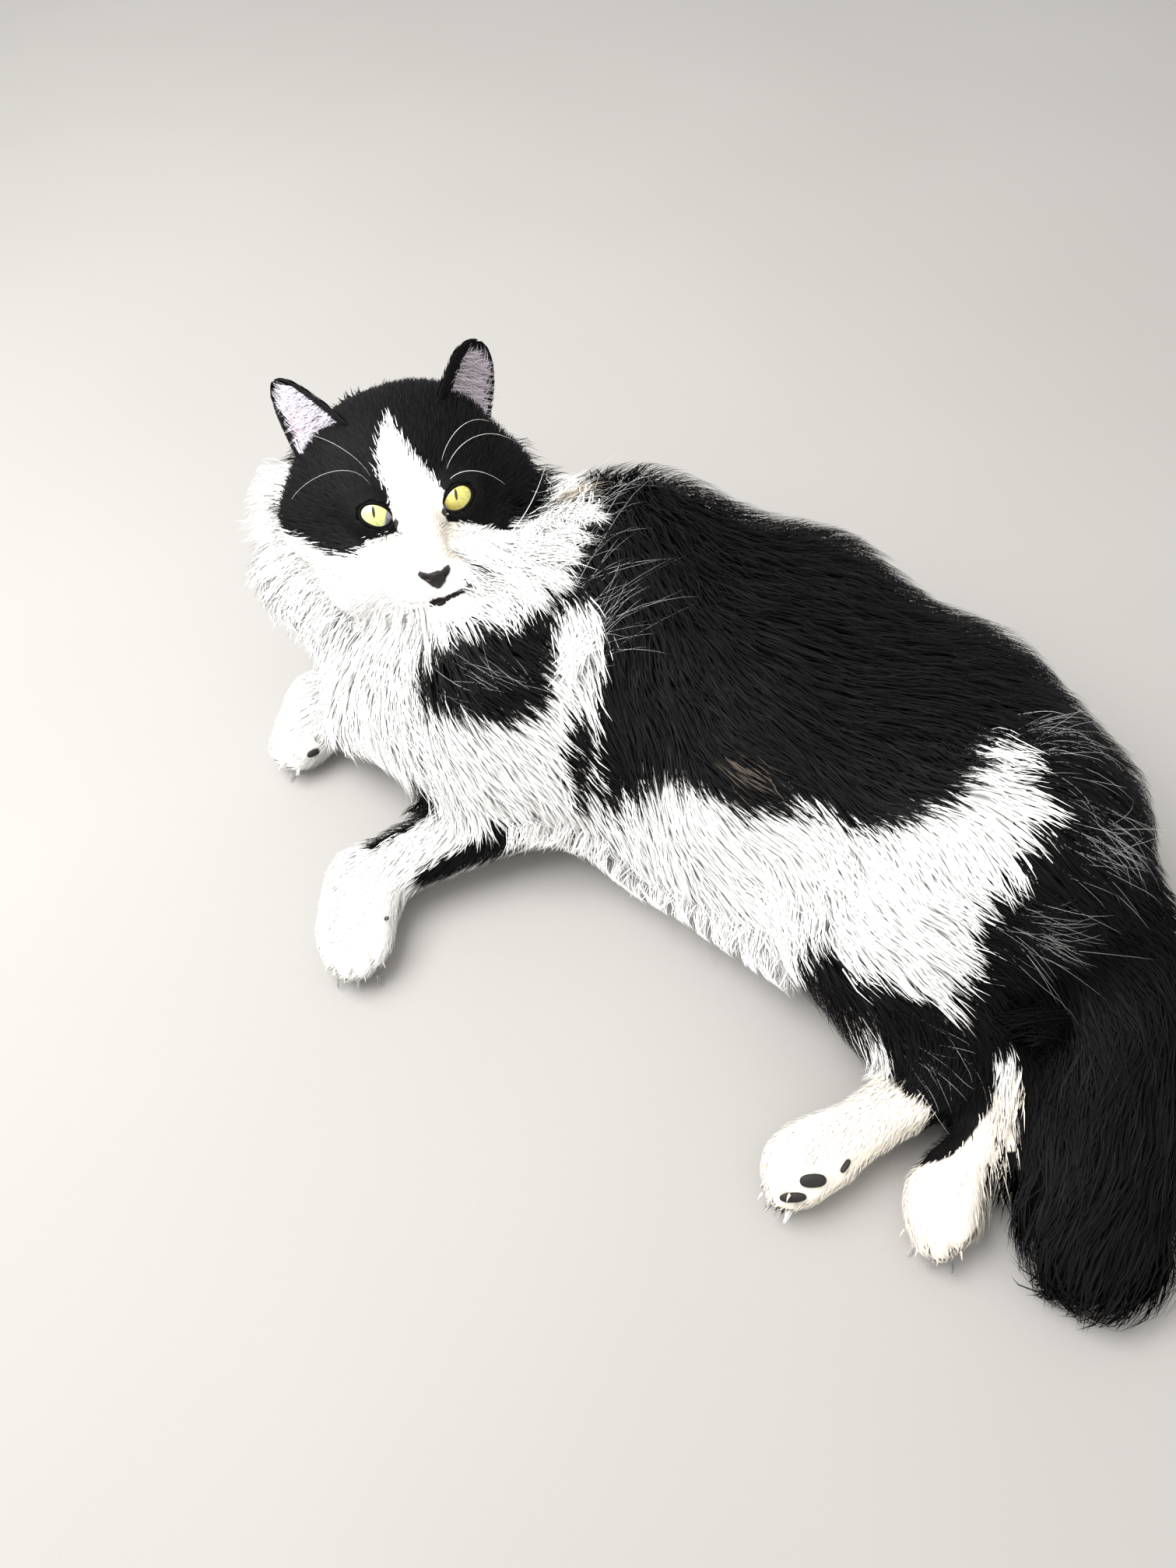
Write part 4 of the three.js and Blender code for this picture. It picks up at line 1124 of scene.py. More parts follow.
def grow(roots, lie, length, rise, steps, spring=0.55):
    """Paths of hairs of that length that rise to that height over the hide, in metres.

    Each step goes on the same way, is drawn to its height there, and turns back to how the coat lies.
    """
    normal = unit(skin.slope(roots))
    lie = unit(lie - normal * (lie * normal).sum(-1, keepdims=True))
    path = [roots - normal * ROOT_DEPTH]
    seg = (length / steps)[:, None]
    steep = np.clip(rise / length * 1.7, 0.05, 0.95)[:, None]
    way = unit(lie * np.sqrt(1 - steep ** 2) + normal * steep)
    for k in range(1, steps + 1):
        here = path[-1]
        there = here + way * seg
        goal = rise * (1 - (1 - k / steps) ** 1.7)
        slope = unit(skin.slope(there))
        off = goal - skin.at(there)
        off = np.where(off > 0, off, spring * off)
        there = there + slope * off[:, None]
        way = unit(there - here)
        there = here + way * seg
        low = there[:, 2] < FLOOR_GAP
        there[low, 2] = FLOOR_GAP + 0.2 * MM * (k % 2)
        path.append(there)
        on = lie - slope * (lie * slope).sum(-1, keepdims=True)
        way = unit(way * 0.6 + unit(on) * 0.4)
    return np.stack(path, 1), normal


def gather_locks(path, size, pull, rng):
    """Draws hairs together into locks, more towards the tips."""
    n, k, _ = path.shape
    heads = rng.choice(n, max(4, int(n / size)), replace=False)
    spots = path[:, 0] * 0.6 + path[:, -1] * 0.4
    tree = tree_of(spots[heads])
    near = heads[[tree.find(p)[1] for p in spots]]
    s = np.linspace(0, 1, k)[None, :, None]
    strength = (pull * (0.45 + 0.75 * rng.random(n)))[:, None, None] * s ** 1.3
    return path + strength * (path[near] - path)


LOWEST_HAIR = 0.3 * MM


def hold_in(path, beyond):
    """Keeps hairs within the coat's outline, but for that much, and above the floor."""
    flat = path.reshape(-1, 3)
    over = outline.at(flat) - np.repeat(beyond, path.shape[1])
    out = np.nonzero(over > 0)[0]
    flat[out] -= unit(outline.slope(flat[out])) * over[out][:, None]
    flat[:, 2] = np.maximum(flat[:, 2], LOWEST_HAIR)
    return flat.reshape(path.shape)


FLAT = 0.2  # a tuft's thickness, as a part of its width
TAPER_AT, TAPER = (0, 0.3, 1), (0.7, 1.0, 0.3)  # its width along its length, up to its last ring
LOWEST_TUFT = 0.05 * MM
SOFT = 0.88  # how far a tuft's shading leans on the hide's own curve
LIT_FROM_ABOVE = 0.45  # and on the sky
MAP_PATCH = 0.003  # side of a tuft's patch in the map


def tuft_mesh(name, path, normal, width, colour, root_uv=None, flat=FLAT):
    """One mesh of tufts along those paths, each with the hide's normal at its root, a width and a colour."""
    n, k, _ = path.shape
    rings = k - 1
    root_uv = uv_near(path[:, 0]) if root_uv is None else root_uv
    lit = unit(normal + (0, 0, LIT_FROM_ABOVE))
    tangent = np.empty_like(path)
    tangent[:, 1:-1] = path[:, 2:] - path[:, :-2]
    tangent[:, 0], tangent[:, -1] = path[:, 1] - path[:, 0], path[:, -1] - path[:, -2]
    tangent = unit(tangent)
    side = unit(np.cross(tangent, normal[:, None, :]))
    up = np.cross(side, tangent)
    taper = np.interp(np.linspace(0, 1, k)[:-1], TAPER_AT, TAPER)
    verts, shade = np.empty((n, 3 * rings + 1, 3)), np.empty((n, 3 * rings + 1, 3))
    for r in range(rings):
        for c in range(3):
            a = math.radians(90 + 120 * c)
            across, over = side[:, r] * math.cos(a), up[:, r] * math.sin(a)
            verts[:, 3 * r + c] = path[:, r] + (across + over * flat) * (width * taper[r] / 2)[:, None]
            shade[:, 3 * r + c] = unit(lit * SOFT + (across * 0.8 + over) * (1 - SOFT))
    verts[:, -1] = path[:, -1]
    shade[:, -1] = unit(lit * SOFT + tangent[:, -1] * 0.5 * (1 - SOFT))
    verts[..., 2] = np.maximum(verts[..., 2], LOWEST_TUFT)
    faces, sizes = [], []
    for r in range(rings - 1):
        for c in range(3):
            d = (c + 1) % 3
            faces += [3 * r + d, 3 * r + c, 3 * r + 3 + c, 3 * r + 3 + d]
            sizes.append(4)
    for c in range(3):
        faces += [3 * rings - 3 + (c + 1) % 3, 3 * rings - 3 + c, 3 * rings]
        sizes.append(3)
    faces += [0, 1, 2]
    sizes.append(3)
    per = 3 * rings + 1
    loops = (np.array(faces)[None] + np.arange(n)[:, None] * per).ravel()
    sizes = np.tile(sizes, n)
    starts = np.concatenate([[0], np.cumsum(sizes)[:-1]])
    me = bpy.data.meshes.new(name)
    me.vertices.add(n * per)
    me.vertices.foreach_set("co", verts.astype(np.float32).ravel())
    me.loops.add(len(loops))
    me.loops.foreach_set("vertex_index", loops.astype(np.int32))
    me.polygons.add(len(sizes))
    me.polygons.foreach_set("loop_start", starts.astype(np.int32))
    me.polygons.foreach_set("use_smooth", np.ones(len(sizes), bool))
    me.update(calc_edges=True)
    me.attributes.new("custom_normal", "FLOAT_VECTOR", "POINT").data.foreach_set(
        "vector", shade.astype(np.float32).ravel())
    rgba = np.repeat(np.concatenate([colour, np.ones((n, 1))], 1), per, 0).astype(np.float32)
    me.attributes.new("coat", "FLOAT_COLOR", "POINT").data.foreach_set("color", rgba.ravel())
    spread = [[c / 2 - 0.5, r / rings - 0.5] for r in range(rings) for c in range(3)] + [[0, 0.5]]
    vert_uv = (root_uv[:, None] + np.array(spread)[None] * MAP_PATCH).reshape(-1, 2)
    me.uv_layers.new(name="OFBake").data.foreach_set("uv", vert_uv[loops].astype(np.float32).ravel())
    show(name, me, fur_finish)


fur_finish, wire, place, shader = finish("fur", Specular_IOR_Level=0.07)
coat_colour = wire.node("ShaderNodeAttribute", {"attribute_name": "coat"}, {})
cloud = wire.noise(place, 70.0, 2.0)
strand = wire.noise(place, 2200.0, 1.0)
set_surface(wire, shader, coat_colour.scaled(0.88 + 0.2 * cloud), 0.46 + 0.22 * strand, strand, 0.05 * MM)


def bare(q):
    """Places of the face that bear no hair: nose leather, eye openings and tear corners."""
    front = q[:, 2] > -8
    out = front & (q[:, 2] > 8) & (inside(q[:, :2], NOSE_EDGE) > -0.5)
    for s in (-1, 1):
        out |= front & (eye_gap(q, s) < 1.6)
        near = q[:, :2] - eye_at(s)[:2]
        near[:, 0] *= -s
        out |= front & (strip(near, TEAR_LINE) < 2.0)
    lip = strip(q, LIP) < 3.5
    return out | (lip & (q[:, 2] > -12))


LONGEST_PIECE = 190_000  # triangles
PAD_BARE, LONG_HAIR_OFF_PADS = 1.2 * MM, 12 * MM  # how far from the pads short and long hair begins
LENGTH_LEAST, LENGTH_MORE = 0.75, 0.45  # of the length given for the place, and up to how much more
RISE_LEAST, RISE_MORE = 0.30, 0.75  # of the coat's depth there
EYE_PARTING = 17  # mm from an eye's middle, within which hairs turn away from it
EYE_SHORT = 9  # mm round its lids, where hairs are short
STRAY, WANDER_SPAN = 0.13, 0.045  # of single hairs, and the metres in which the whole coat's lie turns over
SWAY, SWAY_SPAN = 0.05, 0.02  # the bends of a hair, as a part of its length, and in metres
CALM = 0.4  # the short hair of the head wanders and sways by this much of it
PROUD, PROUD_FEW, PROUD_RIM = 1.0, 7.0, 5  # mm past the outline: any hair, a few, and the ruff's rim


def coat_piece(name, chosen, steps, seed, width, lock_size, pull, wander=0.3):
    """The coat of the chosen hide: tufts of that width in mm, drawn into locks of that many tufts."""
    rng = np.random.default_rng(seed)
    roots, root_uv, solids = root_places(chosen, rng)
    keep = ~bare(on_face(roots))
    for spot, long, broad in pad_spots:
        keep &= np.linalg.norm(roots - spot, axis=1) > (long + broad) / 2 + PAD_BARE
    roots, root_uv, solids = roots[keep], root_uv[keep], solids[keep]
    n = len(roots)
    q = on_face(roots)
    head = solids == OUTLINE.index("head")
    ruff = solids == OUTLINE.index("neck")
    depth = np.maximum(-outline.at(roots), 1.0 * MM)
    # On the head the hair is a millimetre deep at the nose, and deeper away from it, at cheeks and crown.
    from_nose = q - NOSE_PLACE
    far = np.linalg.norm(from_nose, axis=1)
    behind = step(q[:, 2], -30, -55) * step(-q[:, 1], -30, 5)
    cheek = np.maximum(step(np.abs(q[:, 0] - 2), 36, 58), behind)
    crown = step(q[:, 1], 34, 52)
    thin = (1.0 + 0.045 * np.maximum(far - 12, 0) + 24 * cheek + 5 * crown) * MM
    depth = np.where(head, np.minimum(depth, thin), depth)
    length = np.where(head, (3.0 + 0.07 * far + 5 * cheek) * MM, coat_length.at(roots) * MM)
    length = np.maximum(length, depth * 1.2) * (LENGTH_LEAST + LENGTH_MORE * rng.random(n))
    rise = depth * (RISE_LEAST + RISE_MORE * rng.random(n) ** 0.6)
    # It runs outward from the nose. The ruff hangs outward round the face. The rest lies as COAT says.
    radial = unit(from_nose) @ HEAD_AXES
    ruffward = unit(unit(q * (1, 1, 0)) * 0.9 + (0, -0.42, -0.12)) @ HEAD_AXES
    lie = np.where(head[:, None], radial, np.where(ruff[:, None], ruffward, unit(coat_lie.at(roots))))
    long_rim = np.where(ruff, np.maximum((lie * unit(skin.slope(roots))).sum(-1), 0), 0)
    rise = rise * (1 + 1.1 * long_rim * rng.random(n))
    for s in (-1, 1):  # hairs part round the eyes
        away = q - eye_at(s)
        near = np.exp(-(np.linalg.norm(away, axis=1) / EYE_PARTING) ** 4) * head
        lie = lie + (unit(away) @ HEAD_AXES) * (near * 1.4)[:, None]
        gap = eye_gap(q, s)
        by_eye = head & (gap < EYE_SHORT) & (away[:, 2] > -4)
        length = np.where(by_eye, np.minimum(length, (2.2 + 0.3 * np.maximum(gap, 0)) * MM), length)
    calm = np.where(head, CALM, 1.0)
    lie = unit(lie) + rng.normal(0, STRAY, (n, 3)) + wander * calm[:, None] * drift(roots, WANDER_SPAN, seed)
    path, normal = grow(roots, lie, length, rise, steps)
    path = gather_locks(path, lock_size, pull, rng)
    sway = drift(path.reshape(-1, 3), SWAY_SPAN, seed + 50).reshape(path.shape)
    sway = sway * np.linspace(0, 1, steps + 1)[None, :, None]
    path = path + sway * (length * SWAY * calm)[:, None, None]
    proud = PROUD + PROUD_FEW * rng.random(n) ** 3.5 + PROUD_RIM * long_rim * rng.random(n)
    path = hold_in(path, proud * MM)
    if not name.endswith("feet"):  # long hair leaves the pads in view
        gaps = [np.linalg.norm(path - spot, axis=2).min(1) for spot, _, _ in pad_spots]
        clear = np.min(gaps, axis=0) > LONG_HAIR_OFF_PADS
        path, normal, root_uv, solids = path[clear], normal[clear], root_uv[clear], solids[clear]
        n = len(path)
    luck = rng.random((n, 2))
    colour = colours(path[:, 0] * 0.4 + path[:, -1] * 0.6, solids, luck)
    wide = width * (0.7 + 0.6 * rng.random(n)) * MM
    tris = (steps - 1) * 6 + 4
    pieces = math.ceil(n * tris / LONGEST_PIECE)
    for k in range(pieces):
        part = slice(k * n // pieces, (k + 1) * n // pieces)
        tuft_mesh(f"{name}_{k + 1}" if pieces > 1 else name, path[part], normal[part], wide[part],
                  colour[part], root_uv[part])


def covers(*words):
    """Which of the hide's triangles belong to solids whose names start so."""
    return np.any([np.char.startswith(tri_name, w) for w in words], axis=0)


coat_piece("coat_head", covers("head"), 2, 11, 0.62, 5, 0.3)
coat_piece("coat_ruff", covers("neck"), 3, 12, 1.05, 8, 0.32, 0.22)
coat_piece("coat_chest", covers("chest", "shoulder"), 3, 13, 1.1, 8, 0.3, 0.24)
coat_piece("coat_flank", covers("belly"), 3, 14, 0.95, 9, 0.45, 0.26)
coat_piece("coat_rump", covers("rump", "thigh"), 3, 15, 0.95, 9, 0.45, 0.26)
coat_piece("coat_legs", covers("forearm", "shank"), 3, 16, 0.8, 5, 0.3, 0.2)
coat_piece("coat_feet", covers("forepaw", "hind_foot"), 2, 17, 0.7, 4, 0.2, 0.15)
coat_piece("coat_tail", covers("tail"), 4, 18, 1.0, 10, 0.45)

# ---- Fur of the ears: short black plush on the back and rims, long pale hair inside ----
# The plush lies towards the tip. The pale hair fans out of the inner edge and over the hollow.
HAIR_STEPS = 3
SPILL = 6  # mm that a hair runs on past the rim for each half width it would go beyond


def ear_hairs(s, t, h, way_t, way_h, length, lift, layer):
    """Paths over an ear's face: from t, h along way_t, way_h, of that length and rise in mm."""
    height = ear_frame(s)[1] + EAR_ROOT
    u = np.linspace(0, 1, HAIR_STEPS + 1)[None]
    t = t[:, None] + way_t[:, None] * length[:, None] * u / EAR_HALF_WIDTH
    h = np.minimum(h[:, None] + way_h[:, None] * length[:, None] * u / height, 1.0)
    over = np.maximum(np.abs(t) - 0.98, 0)
    up = lift[:, None] * np.sin(u * 1.9) / math.sin(1.57) + over * 4
    path = ear_point(s, np.clip(t, -1, 1), np.minimum(h, 0.998), up, layer)
    wide = ear_frame(s)[3]
    spilt = ((t - np.clip(t, -1, 1)) * SPILL)[..., None] * wide
    return path + spilt @ HEAD_AXES * MM


ear_paths, ear_normals, ear_widths, ear_colours = [], [], [], []
rng = np.random.default_rng(31)
FOOT = 0.22  # where the hair begins, up from the leaf's root
INNER, OUTER = 0, 1
# The cat's left ear's pale hair is painted darker than the right's: painted shade, because that ear is turned
# away from the light.
PALE_HAIR = {-1: np.array((0.74, 0.69, 0.77)), 1: np.array((0.50, 0.45, 0.50))}


def some(low, high):
    """A random number between those for each of n hairs."""
    return rng.uniform(low, high, n)


for s in (-1, 1):
    groups = []
    n = 1100  # plush on the back of the ear
    t, h = some(-1.0, 1.0), some(FOOT, 0.97)
    groups.append((t, h, 0.15 * t, np.ones(n), some(4.5, 8), some(0.5, 1.6), OUTER, False))
    n = 800  # plush along the rim, on its inner side
    t, h = np.sign(rng.random(n) - 0.5) * some(0.76, 1.0), some(FOOT, 0.98)
    groups.append((t, h, 0.35 * np.sign(t), np.ones(n), some(2.5, 4.5), some(0.3, 0.9), INNER, False))
    n = 260  # plush at the tip
    t, h = some(-1, 1), some(0.84, 0.985)
    groups.append((t, h, 0.3 * t, np.ones(n), some(3, 5), some(0.3, 0.9), INNER, False))
    n = 700 if s > 0 else 260  # black plush on the inner, medial part
    t, h = some(-1, -0.45 if s > 0 else -0.75), some(FOOT, 0.9)
    groups.append((t, h, 0.2 + 0 * t, np.ones(n), some(4, 7), some(0.6, 1.8), INNER, False))
    n = 480  # long pale hair, out of the medial edge
    t, h = -0.85 + 0.9 * rng.random(n) ** 1.6 + (0.25 if s > 0 else 0), FOOT + 0.62 * rng.random(n)
    groups.append((t, h, 0.9 + 0.2 * rng.random(n), 0.55 - 0.9 * rng.random(n), some(8, 19), some(1.5, 4.5),
                   INNER, True))
    n = 340  # pale down in the hollow
    t, h = some(-0.6, 0.82), some(0.3, 0.86)
    groups.append((t, h, 0.35 + 0 * t, np.ones(n), some(4, 8), some(0.5, 1.3), INNER, True))
    n = 150  # the pale tuft at the foot of the outer edge
    t, h = some(0.45, 0.9), some(0.2, 0.34)
    groups.append((t, h, -0.1 - 0.3 * rng.random(n), np.ones(n), some(5, 11), some(1.5, 4), INNER, True))
    out = ear_frame(s)[4] @ HEAD_AXES
    for *hairs, layer, pale in groups:
        n = len(hairs[0])
        ear_paths.append(ear_hairs(s, *hairs, layer))
        ear_normals.append(np.repeat((out if layer == OUTER else -out)[None], n, 0))
        ear_widths.append(some(0.3, 0.5) if pale else some(0.5, 0.8))
        tone = rng.random((n, 1))
        dark = np.array(BLACK) * (0.7 + 1.5 * tone ** 3)
        ear_colours.append(PALE_HAIR[s] * (0.7 + 0.4 * tone) if pale else dark)
tuft_mesh("ear_fur", np.concatenate(ear_paths), np.concatenate(ear_normals), np.concatenate(ear_widths) * MM,
          np.concatenate(ear_colours))

# ---- Locks: heavier tufts that stand out of the coat at the ruff, chest, flank and toes ----
# Each is a bundle of hairs drawn from one place of the hide to one tip, fanned a little at its end.
LOCK_STEPS = 4


def lock(root, tip, count, spread, fan, lift):
    """Paths of a lock between two places of the plan, in mm, bowed upward by lift."""
    a, b = ((np.array(p, float) + PLAN_FROM) * MM for p in (root, tip))
    u = np.linspace(0, 1, LOCK_STEPS + 1)[None, :, None]
    start = a + rng.normal(0, spread, (count, 1, 3)) * (1, 1, 0.5) * MM
    reach = 0.72 + 0.34 * rng.random((count, 1, 1))
    end = start + (b + rng.normal(0, fan, (count, 1, 3)) * (1, 1, 0.5) * MM - start) * reach
    bow = lift * MM * 4 * u * (1 - u) * np.array((0, 0, 1)) * rng.uniform(0.6, 1.3, (count, 1, 1))
    return start + (end - start) * u + bow


LOCKS = [  # root, tip, hairs, spread, fan, lift, colour
    ((-67, 156, 148), (-47, 149, 158), 90, 4, 3.5, 4, WHITE),
    ((-66, 149, 150), (-45, 140, 160), 110, 4, 3.5, 4, WHITE),
    ((-74, 135, 150), (-52, 127, 159), 120, 5, 3.5, 4, WHITE),
    ((-86, 126, 150), (-58, 116, 157), 150, 6, 3.5, 4, WHITE),
    ((-88, 116, 150), (-65, 97, 153), 150, 6, 3.5, 4, WHITE),
    ((-96, 110, 148), (-79, 88, 150), 150, 6, 3.5, 4, WHITE),
    ((-106, 106, 140), (-95, 80, 144), 130, 6, 4, 4, WHITE),
    ((-66, 166, 150), (-46, 169, 157), 80, 4, 4, 4, TAN),
    ((148, -86, 47), (168, -118, 43), 240, 6, 6, 3, BLACK),
    ((143, -100, 45), (174, -104, 43), 200, 6, 6, 3, BLACK),
    ((-68, 60, 132), (-56, 78, 140), 110, 4, 5, 4, WHITE),
]
RUFF_TIPS = [(-73, 35), (-79, 30), (-82, 24), (-85, 13), (-85, -1), (-83, -12), (-82, -22), (-81, -35),
             (-76, -52), (-66, -70)]
RUFF_ENDS = ((0.62, -60), (1.0, -74))  # how far out of the head, and how far behind the face
FRINGE = [(-100, 18, 46), (-85, 17, 42), (-69, 16, 38), (-54, 6, 34), (-41, -6, 28), (-24, -18, 30),
          (-8, -29, 34), (7, -40, 37), (22, -51, 38), (31, -63, 38), (37, -72, 34)]
FEATHER_ENDS = ((0.70, 0.62), (0.92, 0.80))  # along the foot and down to its sole, as parts of its radii
rng = np.random.default_rng(41)
for k in np.linspace(0, len(RUFF_TIPS) - 1, 17):  # spikes of the ruff, on the face's axes
    tip = part_way(RUFF_TIPS, k) * rng.uniform(0.93, 1.05)
    ends = [off_face((*(tip * far), deep)) / MM - PLAN_FROM for far, deep in RUFF_ENDS]
    LOCKS.append((*ends, 34 if k < 3 else 70, 6.5, 5, 3, WHITE))
for k in np.linspace(0, len(FRINGE) - 1, 30):  # loose fringe along the chest and belly
    root = part_way(FRINGE, k) + rng.normal(0, 2, 3)
    LOCKS.append((root + (1, 4, 2), root + rng.normal((-4, -13, -10), 2), 26, 3.5, 3, 2, WHITE))
for name in PAWS:  # feathers between the toes
    place, axes, radii = paw_frame(name)
    for k in CLEFTS:
        ends = [((x, k * (CLEFT_WIDE + CLEFT_FAN * x), z) * radii) @ axes for x, z in FEATHER_ENDS]
        ends = [place / MM - PLAN_FROM + end for end in ends]
        LOCKS.append((*ends, 9, 0.8, 0.8, 0.3, WHITE))
lock_paths, lock_colours = [], []
for *shape, colour in LOCKS:
    lock_paths.append(lock(*shape))
    lock_colours.append(np.array(colour) * (0.8 + 0.25 * rng.random((len(lock_paths[-1]), 1))))
paths = np.concatenate(lock_paths)
paths = hold_in(paths, np.full(len(paths), 6 * MM))
tuft_mesh("locks", paths, unit(outline.slope(paths[:, 0])), rng.uniform(0.4, 0.75, len(paths)) * MM,
          np.concatenate(lock_colours))

# ---- Guard hairs: single long white hairs that stand clear of the black coat ----
# They come out of the ruff, shoulder, flank and hip and lie over the black in loose curves.
GUARD = [  # middle of the place in plan mm, its half sizes, way the hairs go, hairs, length
    ((-66, 122, 150), (8, 26, 8), (0.7, 0.55, 0.3), 34, 58),
    ((-64, 72, 138), (7, 20, 12), (0.8, 0.4, 0.3), 34, 52),
    ((-95, 54, 122), (20, 7, 8), (-0.6, 0.5, 0.4), 26, 36),
    ((146, -6, 145), (10, 16, 12), (0.9, 0.1, 0.1), 44, 46),
    ((160, -46, 130), (10, 24, 14), (0.9, -0.4, 0.0), 60, 50),
    ((138, -82, 96), (20, 12, 12), (0.75, -0.6, 0.0), 44, 44),
    ((92, -124, 60), (24, 12, 12), (0.5, -0.8, 0.0), 22, 26),
]
GUARD_STEPS, GUARD_BEND = 7, 0.26  # the bend is a part of its length
rng = np.random.default_rng(51)
guard_paths = []
for spot, spread, way, count, length in GUARD:
    spots = (np.array(spot) + PLAN_FROM + rng.normal(0, 0.6, (count, 3)) * spread) * MM
    spots = spots - unit(skin.slope(spots)) * skin.at(spots)[:, None]
    ways = unit(way) + rng.normal(0, 0.22, (count, 3))
    long = length * (0.6 + 0.7 * rng.random(count)) * MM
    rise = np.maximum(-outline.at(spots), 2 * MM) * (0.9 + 0.5 * rng.random(count))
    path, _ = grow(spots, ways, long, rise, GUARD_STEPS, 0.2)
    u = np.linspace(0, 1, GUARD_STEPS + 1)[None, :, None]
    bend = unit(rng.normal(size=(count, 1, 3)) + (0, -0.6, -0.5)) * (long[:, None, None] * GUARD_BEND)
    guard_paths.append(path + bend * u ** 2)
paths = np.concatenate(guard_paths)
paths = hold_in(paths, np.full(len(paths), 5 * MM))
tuft_mesh("guard_hairs", paths, unit(outline.slope(paths[:, 0])), rng.uniform(0.12, 0.2, len(paths)) * MM,
          np.full((len(paths), 3), 0.5), flat=1.0)

# ---- Claws: short curved horn, one to a toe, drawn back so that only the points clear the fur ----
# Each is a hook, deeper than it is wide, that grows out of the toe's end and thins to its point.
CLAW_PLACES = (-0.74, -0.26, 0.26, 0.74)  # across the foot, as parts of its half width
CLAW_LONG, CLAW_SUNK, CLAW_HOOK = 3.8, 4.4, 1.2  # mm
CLAW_HALF_WIDE, CLAW_HALF_DEEP = 0.55, 0.95  # mm, at the root
CLAW_RINGS, CLAW_AROUND = 9, 8
verts, faces = [], []
for name in PAWS:
    place, axes, radii = paw_frame(name)
    for k in CLAW_PLACES:
        spot = np.array((math.sqrt(1 - 0.8 * k * k) * 0.97, k * 0.94, 0.12)) * radii
        way = unit(spot * (1, 0.6, 0))
        faces += tube_faces(len(verts), CLAW_RINGS, CLAW_AROUND)
        for u in np.linspace(0, 1, CLAW_RINGS):
            bead = spot + way * (CLAW_LONG * u - CLAW_SUNK) + np.array((0, 0, CLAW_HOOK * u * u))
            for turn in turns(CLAW_AROUND):
                wide, deep = math.cos(turn) * CLAW_HALF_WIDE, math.sin(turn) * CLAW_HALF_DEEP
                rim = np.array((-way[1] * wide, way[0] * wide, deep))
                verts.append(place + (bead + rim * (1.0 - u) ** 0.7 + rim * 0.06) @ axes * MM)
verts = np.array(verts)
verts[:, 2] = np.maximum(verts[:, 2], PAD_CLEARANCE)
claw_finish, wire, place, shader = finish("claw", Specular_IOR_Level=0.4)
grown = wire.noise(place, 500.0, 2.0)
set_surface(wire, shader, wire.mix(grown, (0.55, 0.48, 0.42, 1), (0.75, 0.70, 0.64, 1)), 0.3 + 0.2 * grown)
mesh_piece("claws", verts, faces, claw_finish)

# ---- Whiskers: stiff white bristles of the lip and brow, each set in the hide by its thick root ----
# They are given by places in the head's own axes: to the cat's left, to the crown, out of the face.
WHISKERS = [
    [(25.7, -34.1), (38.0, -26.9, 18.0), (52.2, -15.8, 18.0), (61.9, -5.6, 14.0), (71.2, 6.1, 6.0)],
    [(26.3, -36.6), (52.7, -39.2, 12.0), (75.4, -39.2, 6.0)],
    [(27.1, -39.4), (54.8, -49.2, 12.0), (81.7, -59.8, 4.0)],
    [(26.4, -41.7), (50.3, -55.1, 10.0), (73.8, -67.8, 0.0)],
    [(24.2, -43.2), (34.0, -54.1, 12.0), (45.5, -65.3, 2.0)],
    [(23.5, -35.2), (48.0, -33.5, 16.0), (70.0, -27.0, 8.0)],
    [(22.0, -40.2), (44.0, -50.5, 15.0), (62.0, -66.0, 4.0)],
    [(-25.3, -36.6), (-48.7, -39.2, 12.0), (-72.4, -43.2, 6.0)],
    [(-26.1, -39.4), (-50.8, -49.2, 12.0), (-74.7, -60.8, 4.0)],
    [(-25.4, -42.2), (-46.3, -56.1, 10.0), (-66.8, -72.8, 0.0)],
    [(-24.5, -34.2), (-48.0, -31.5, 14.0), (-72.0, -27.0, 6.0)],
    [(-22.0, -41.2), (-40.0, -56.5, 13.0), (-54.0, -72.0, 4.0)],
    [(19.7, 17.6), (22.4, 25.0, 6.0), (29.0, 31.8, 8.0), (38.0, 34.5, 7.0), (47.3, 32.7, 2.0)],
    [(21.0, 13.1), (25.0, 20.5, 5.0), (34.9, 26.1, 6.0), (46.0, 26.5, 4.0), (58.7, 20.8, 0.0)],
    [(20.8, 8.5), (27.0, 11.0, 1.0), (34.7, 10.0, 3.0), (42.0, 6.5, 0.0), (49.5, 0.7, -6.0)],
    [(-19.0, 13.0), (-30.1, 22.9, 8.0), (-46.2, 22.5, 6.0), (-60.0, 15.1, 0.0)],
    [(-17.9, 17.1), (-24.2, 27.6, 6.0), (-33.9, 37.7, 3.0), (-43.8, 44.2, -6.0)],
]
BEADS, SIDES = 14, 6
LIP_THICK, BROW_THICK, RIGHT_BROW_THICK, TIP_THICK = 0.20, 0.08, 0.03, 0.04  # mm, half
verts, faces = [], []
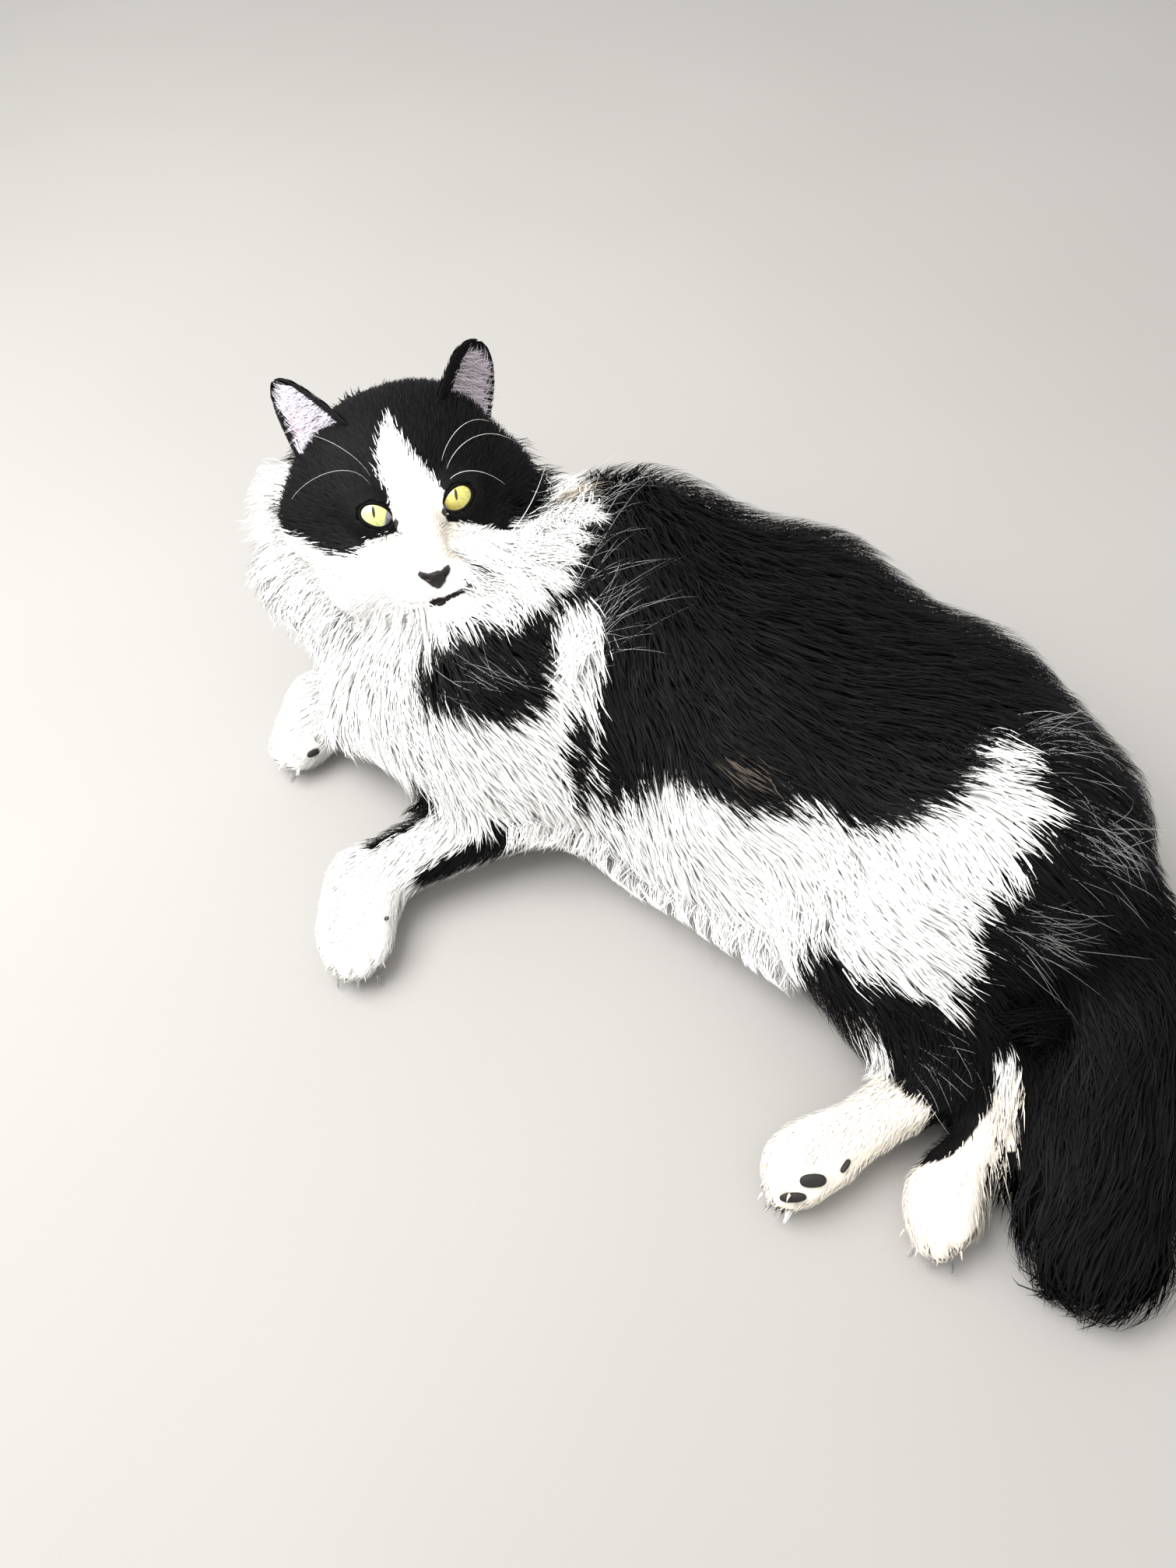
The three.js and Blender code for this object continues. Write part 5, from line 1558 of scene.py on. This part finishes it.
for line in WHISKERS:
    knots = np.array([skin_above(*line[0]) - (0, 0, 0.8)] + [np.array(p) for p in line[1:]])
    at_knot = np.linspace(0, 1, len(knots))
    fit = np.polyfit(at_knot, knots, min(3, len(knots) - 1))
    u = np.linspace(0, 1, BEADS)
    path = sum(fit[k] * u[:, None] ** (len(fit) - 1 - k) for k in range(len(fit)))
    path += (knots[0] - path[0]) * (1 - u[:, None]) ** 3
    tangent = unit(np.gradient(path, axis=0))
    side = unit(np.cross(tangent, (0, 0, 1.0)))
    up = np.cross(side, tangent)
    thick = LIP_THICK if line[0][1] < 0 else BROW_THICK if line[0][0] > 0 else RIGHT_BROW_THICK
    faces += [face[::-1] for face in tube_faces(len(verts), BEADS, SIDES)]
    for k in range(BEADS):
        r = thick * (1 - u[k]) ** 0.8 + TIP_THICK
        for turn in turns(SIDES):
            verts.append(off_face(path[k] + r * (side[k] * math.cos(turn) + up[k] * math.sin(turn))))
whisker_finish, wire, place, shader = finish("whisker", Specular_IOR_Level=0.5)
horn = wire.noise(place, 90.0, 2.0)
set_surface(wire, shader, wire.mix(horn, (0.80, 0.79, 0.76, 1), (0.92, 0.91, 0.88, 1)), 0.25 + 0.2 * horn)
mesh_piece("whiskers", verts, faces, whisker_finish)

# ---- Floor and light: a plain pale floor, and soft daylight from the cat's right ----
HALF_FLOOR = 3
floor_corners = [(x * HALF_FLOOR, y * HALF_FLOOR, 0) for x, y in ((-1, -1), (1, -1), (1, 1), (-1, 1))]
floor_mesh = bpy.data.meshes.new("floor")
floor_mesh.from_pydata(floor_corners, [], [(0, 1, 2, 3)])
floor = bpy.data.objects.new("floor", floor_mesh)
bpy.context.collection.objects.link(floor)
floor_finish, wire, place, shader = finish("floor", Specular_IOR_Level=0.2)
haze = wire.noise(place, 3.0, 2.0)
grain = wire.noise(place, 900.0, 1.0)
set_surface(wire, shader, wire.mix(haze, (0.30, 0.29, 0.277, 1), (0.335, 0.325, 0.312, 1)),
            0.6 + 0.1 * grain, grain, 0.05 * MM)
floor_mesh.materials.append(floor_finish)
SKY, SKY_STRENGTH = (1.0, 0.99, 0.97, 1), 1.2
LAMP_PLACE, LAMP_WAY, LAMP_WATTS, LAMP_SIDE = (-0.75, 0.1, 1.25), (0.65, -0.1, -1.2), 38, 1.0
world = bpy.data.worlds.new("world")
bpy.context.scene.world = world
world.use_nodes = True
sky = world.node_tree.nodes["Background"]
sky.inputs["Color"].default_value = SKY
sky.inputs["Strength"].default_value = SKY_STRENGTH
light = bpy.data.lights.new("window", "AREA")
light.energy = LAMP_WATTS
light.size = LAMP_SIDE
lamp = bpy.data.objects.new("window", light)
bpy.context.collection.objects.link(lamp)
turned = Vector(LAMP_WAY).to_track_quat("-Z", "Y").to_matrix().to_4x4()
lamp.matrix_world = Matrix.Translation(LAMP_PLACE) @ turned
bpy.context.scene.view_settings.view_transform = "Standard"
